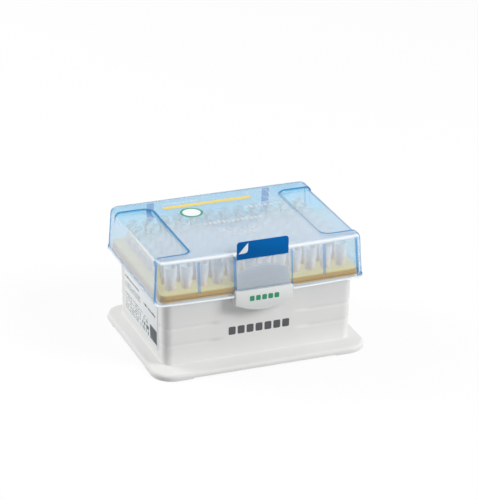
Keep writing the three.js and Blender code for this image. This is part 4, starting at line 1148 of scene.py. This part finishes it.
def print_group():
    """1 on dashes: rows at a pitch inside a field of y and z, broken by noise along each row."""
    inputs = [(name, "Float", 0.0) for name in ("Y", "Z", *FIELD_INPUTS)]
    group, given, out = new_group("dashed_rows", inputs, [("Mask", "Float")])

    def calc(operation, *values):
        return maths(group, operation, *(given[v] if isinstance(v, str) else v for v in values))

    count = calc("DIVIDE", calc("SUBTRACT", "Z", "From Z"), "Pitch")
    row = calc("ADD", calc("MULTIPLY", calc("FLOOR", count), 7.3), "From Y")
    spot = node(group, "CombineXYZ", calc("DIVIDE", "Y", "Dash"), row)
    noise = node(group, "TexNoise", Vector=spot, Scale=1.0, Detail=0.0)
    total = calc("LESS_THAN", noise, "Cover")
    for operation, value, limit in (
            ("LESS_THAN", calc("FRACT", count), "Fill"),
            ("GREATER_THAN", "Y", "From Y"), ("LESS_THAN", "Y", "To Y"),
            ("GREATER_THAN", "Z", "From Z"), ("LESS_THAN", "Z", "To Z")):
        total = calc("MULTIPLY", total, calc(operation, value, limit))
    group.links.new(total.outputs[0], out["Mask"])
    return group


LABEL_FIELDS = [
    # y from, to, z from, to, pitch, fill, dash length, share inked
    (-26.3, -15.0, 11.7, 20.0, 9.0, 1.0, 1.0, 2.0),
    (-13.4, -9.0, 11.6, 17.6, 3.0, 0.8, 4.0, 0.55),
    (3.0, 26.8, 31.2, 32.4, 2.0, 1.0, 0.8, 0.55),
    (1.0, 26.8, 25.6, 29.2, 1.25, 0.45, 1.0, 0.56),
    (-24.2, -4.3, 27.4, 28.7, 2.0, 1.0, 0.9, 0.56),
    (4.0, 26.8, 12.2, 22.6, 1.5, 0.4, 1.1, 0.53),
    (-11.0, 3.0, 12.0, 21.5, 2.9, 0.75, 1.5, 0.44)]

def label_material():
    """White paper with the printed fields in dark grey."""
    material, tree = blank_material("label_paper")
    rows, printed = print_group(), 0.0
    place = node(tree, "VectorMath", object_place(tree), operation="SCALE", Scale=1 / MM)
    axes = node(tree, "SeparateXYZ", place).outputs
    for values in LABEL_FIELDS:
        field = node(tree, "Group", axes["Y"], axes["Z"], *values, node_tree=rows)
        printed = maths(tree, "MAXIMUM", printed, field)
    tone = blend(tree, printed, PAPER, SMALL_PRINT)
    node(tree, "OutputMaterial", moulded_surface(tree, tone, 0.03, 0.1, 0.45)[0])
    return material


label_outline = rounded_outline(-27.7, 27.7, 9.0, 35.0, 1.0, 1.0, 4)
label_loops = []
for off, inset in ((0.04, 0.0), (0.14, 0.0), (0.17, 0.05)):
    ring = shrink(label_outline, inset)
    label_loops.append(to_points(-tub_half(ring[:, 1])[0] - off, *ring.T))
make_piece("end_label", [stacked(label_loops)], label_material(), "box",
           ["side_label"])

# %% [markdown]
# The prints on the lid's top and on the fronts are plain fields of colour: thin raised ink, a
# twentieth of a millimetre thick. Each is an outline in two directions and a function that lays it
# on its surface.

# %% Prints
INK_LIFTS = (0.02, 0.07)


def ink(name, tint):
    return moulded_material(name, tint, variation=0.03, grain=0.02, polish=0.35)


def ink_shell(outline, place):
    """Thin closed patch: the outline laid on a surface by place(u, v, lift)."""
    return stacked([[place(u, v, lift) for u, v in outline] for lift in INK_LIFTS])


def on_top(u, v, lift):
    return u, v, LID_TOP + lift


def on_tub(u, v, lift):
    return u, -tub_half(v)[1] - lift, v


def on_lip(u, v, lift):
    return u, LIP_Y - lift, v


def bar(x0, x1, y0, y1, radius=0.5):
    return rounded_outline(x0, x1, y0, y1, radius, radius, 3)


def disc(cx, cy, r, count=48):
    return arc(cx, cy, r, full_turn(count))


def flat_ring(inner, outer):
    """Closed line of ink on the top, between two outlines with equally many points."""
    low, high = (LID_TOP + lift for lift in INK_LIFTS)
    return ring_shell([at_height(inner, low), at_height(outer, low), at_height(outer, high),
                       at_height(inner, high)])


def blocks(x0, x1, z0, z1, count, gap=0.9, radius=0.5):
    """A row of equal rounded blocks between x0 and x1."""
    width = (x1 - x0 - gap * (count - 1)) / count
    return [bar(x0 + k * (width + gap), x0 + k * (width + gap) + width, z0, z1, radius)
            for k in range(count)]


def print_piece(name, shells, material, body="hinged_lid"):
    make_piece(name, shells, material, body)


GREEN_INK = ink("green_ink", screen(40, 150, 110))
stripe, ring_at = bar(-31.9, 20.4, 27.7, 31.3, 0.3), (-18.8, 19)
box_frame = np.array([(20.2, 20.0), (32.6, 20.0), (32.6, 37.0), (20.2, 37.0)])
slash = [(21.2, 36.0), (31.2, 21.4), (31.8, 21.6), (21.8, 36.2)]
faint = [outline for row in (
    (-29.7, -9.5, 34.0, 35.6, 8, 0.8, 0.3), (-17.9, 16.4, -0.4, 3.0, 13, 1.0, 0.4),
    (-12.6, 9.2, -10.4, -8.6, 11, 0.8, 0.3), (-10.6, 7.4, -14.0, -12.2, 9, 0.8, 0.3),
    (-8.4, 5.4, -17.6, -15.8, 7, 0.8, 0.3), (11.6, 31.4, 14.9, 17.6, 7, 1.1, 0.4))
    for outline in blocks(*row)]
print_piece("stripe", [ink_shell(stripe, on_top)], ink("yellow_ink", screen(238, 212, 112)))
print_piece("round_ring", [flat_ring(disc(*ring_at, 5.2, 64), disc(*ring_at, 6.5, 64))], GREEN_INK)
print_piece("ring_field", [ink_shell(disc(*ring_at, 5.1), on_top)],
            ink("white_ink", screen(244, 246, 248)))
print_piece("faint_marks", [*(ink_shell(outline, on_top) for outline in faint),
                            flat_ring(shrink(box_frame, 0.45), box_frame),
                            ink_shell(slash, on_top)],
            thin_layer("faint_ink", screen(250, 252, 255), (0.12, 0.42), 900.0, 1.0, Roughness=0.4))
front_blocks = blocks(-17.8, 17.65, 17.4, 22.2, 7, 1.2, 0.7)
lip_blocks = blocks(-8.5, 8.5, 39.5, 42.5, 5, 0.9, 0.6)
print_piece("front_marks", [ink_shell(outline, on_tub) for outline in front_blocks],
            ink("grey_ink", screen(84, 86, 90)), "box")
print_piece("lip_marks", [ink_shell(outline, on_lip) for outline in lip_blocks], GREEN_INK,
            "front_latch")
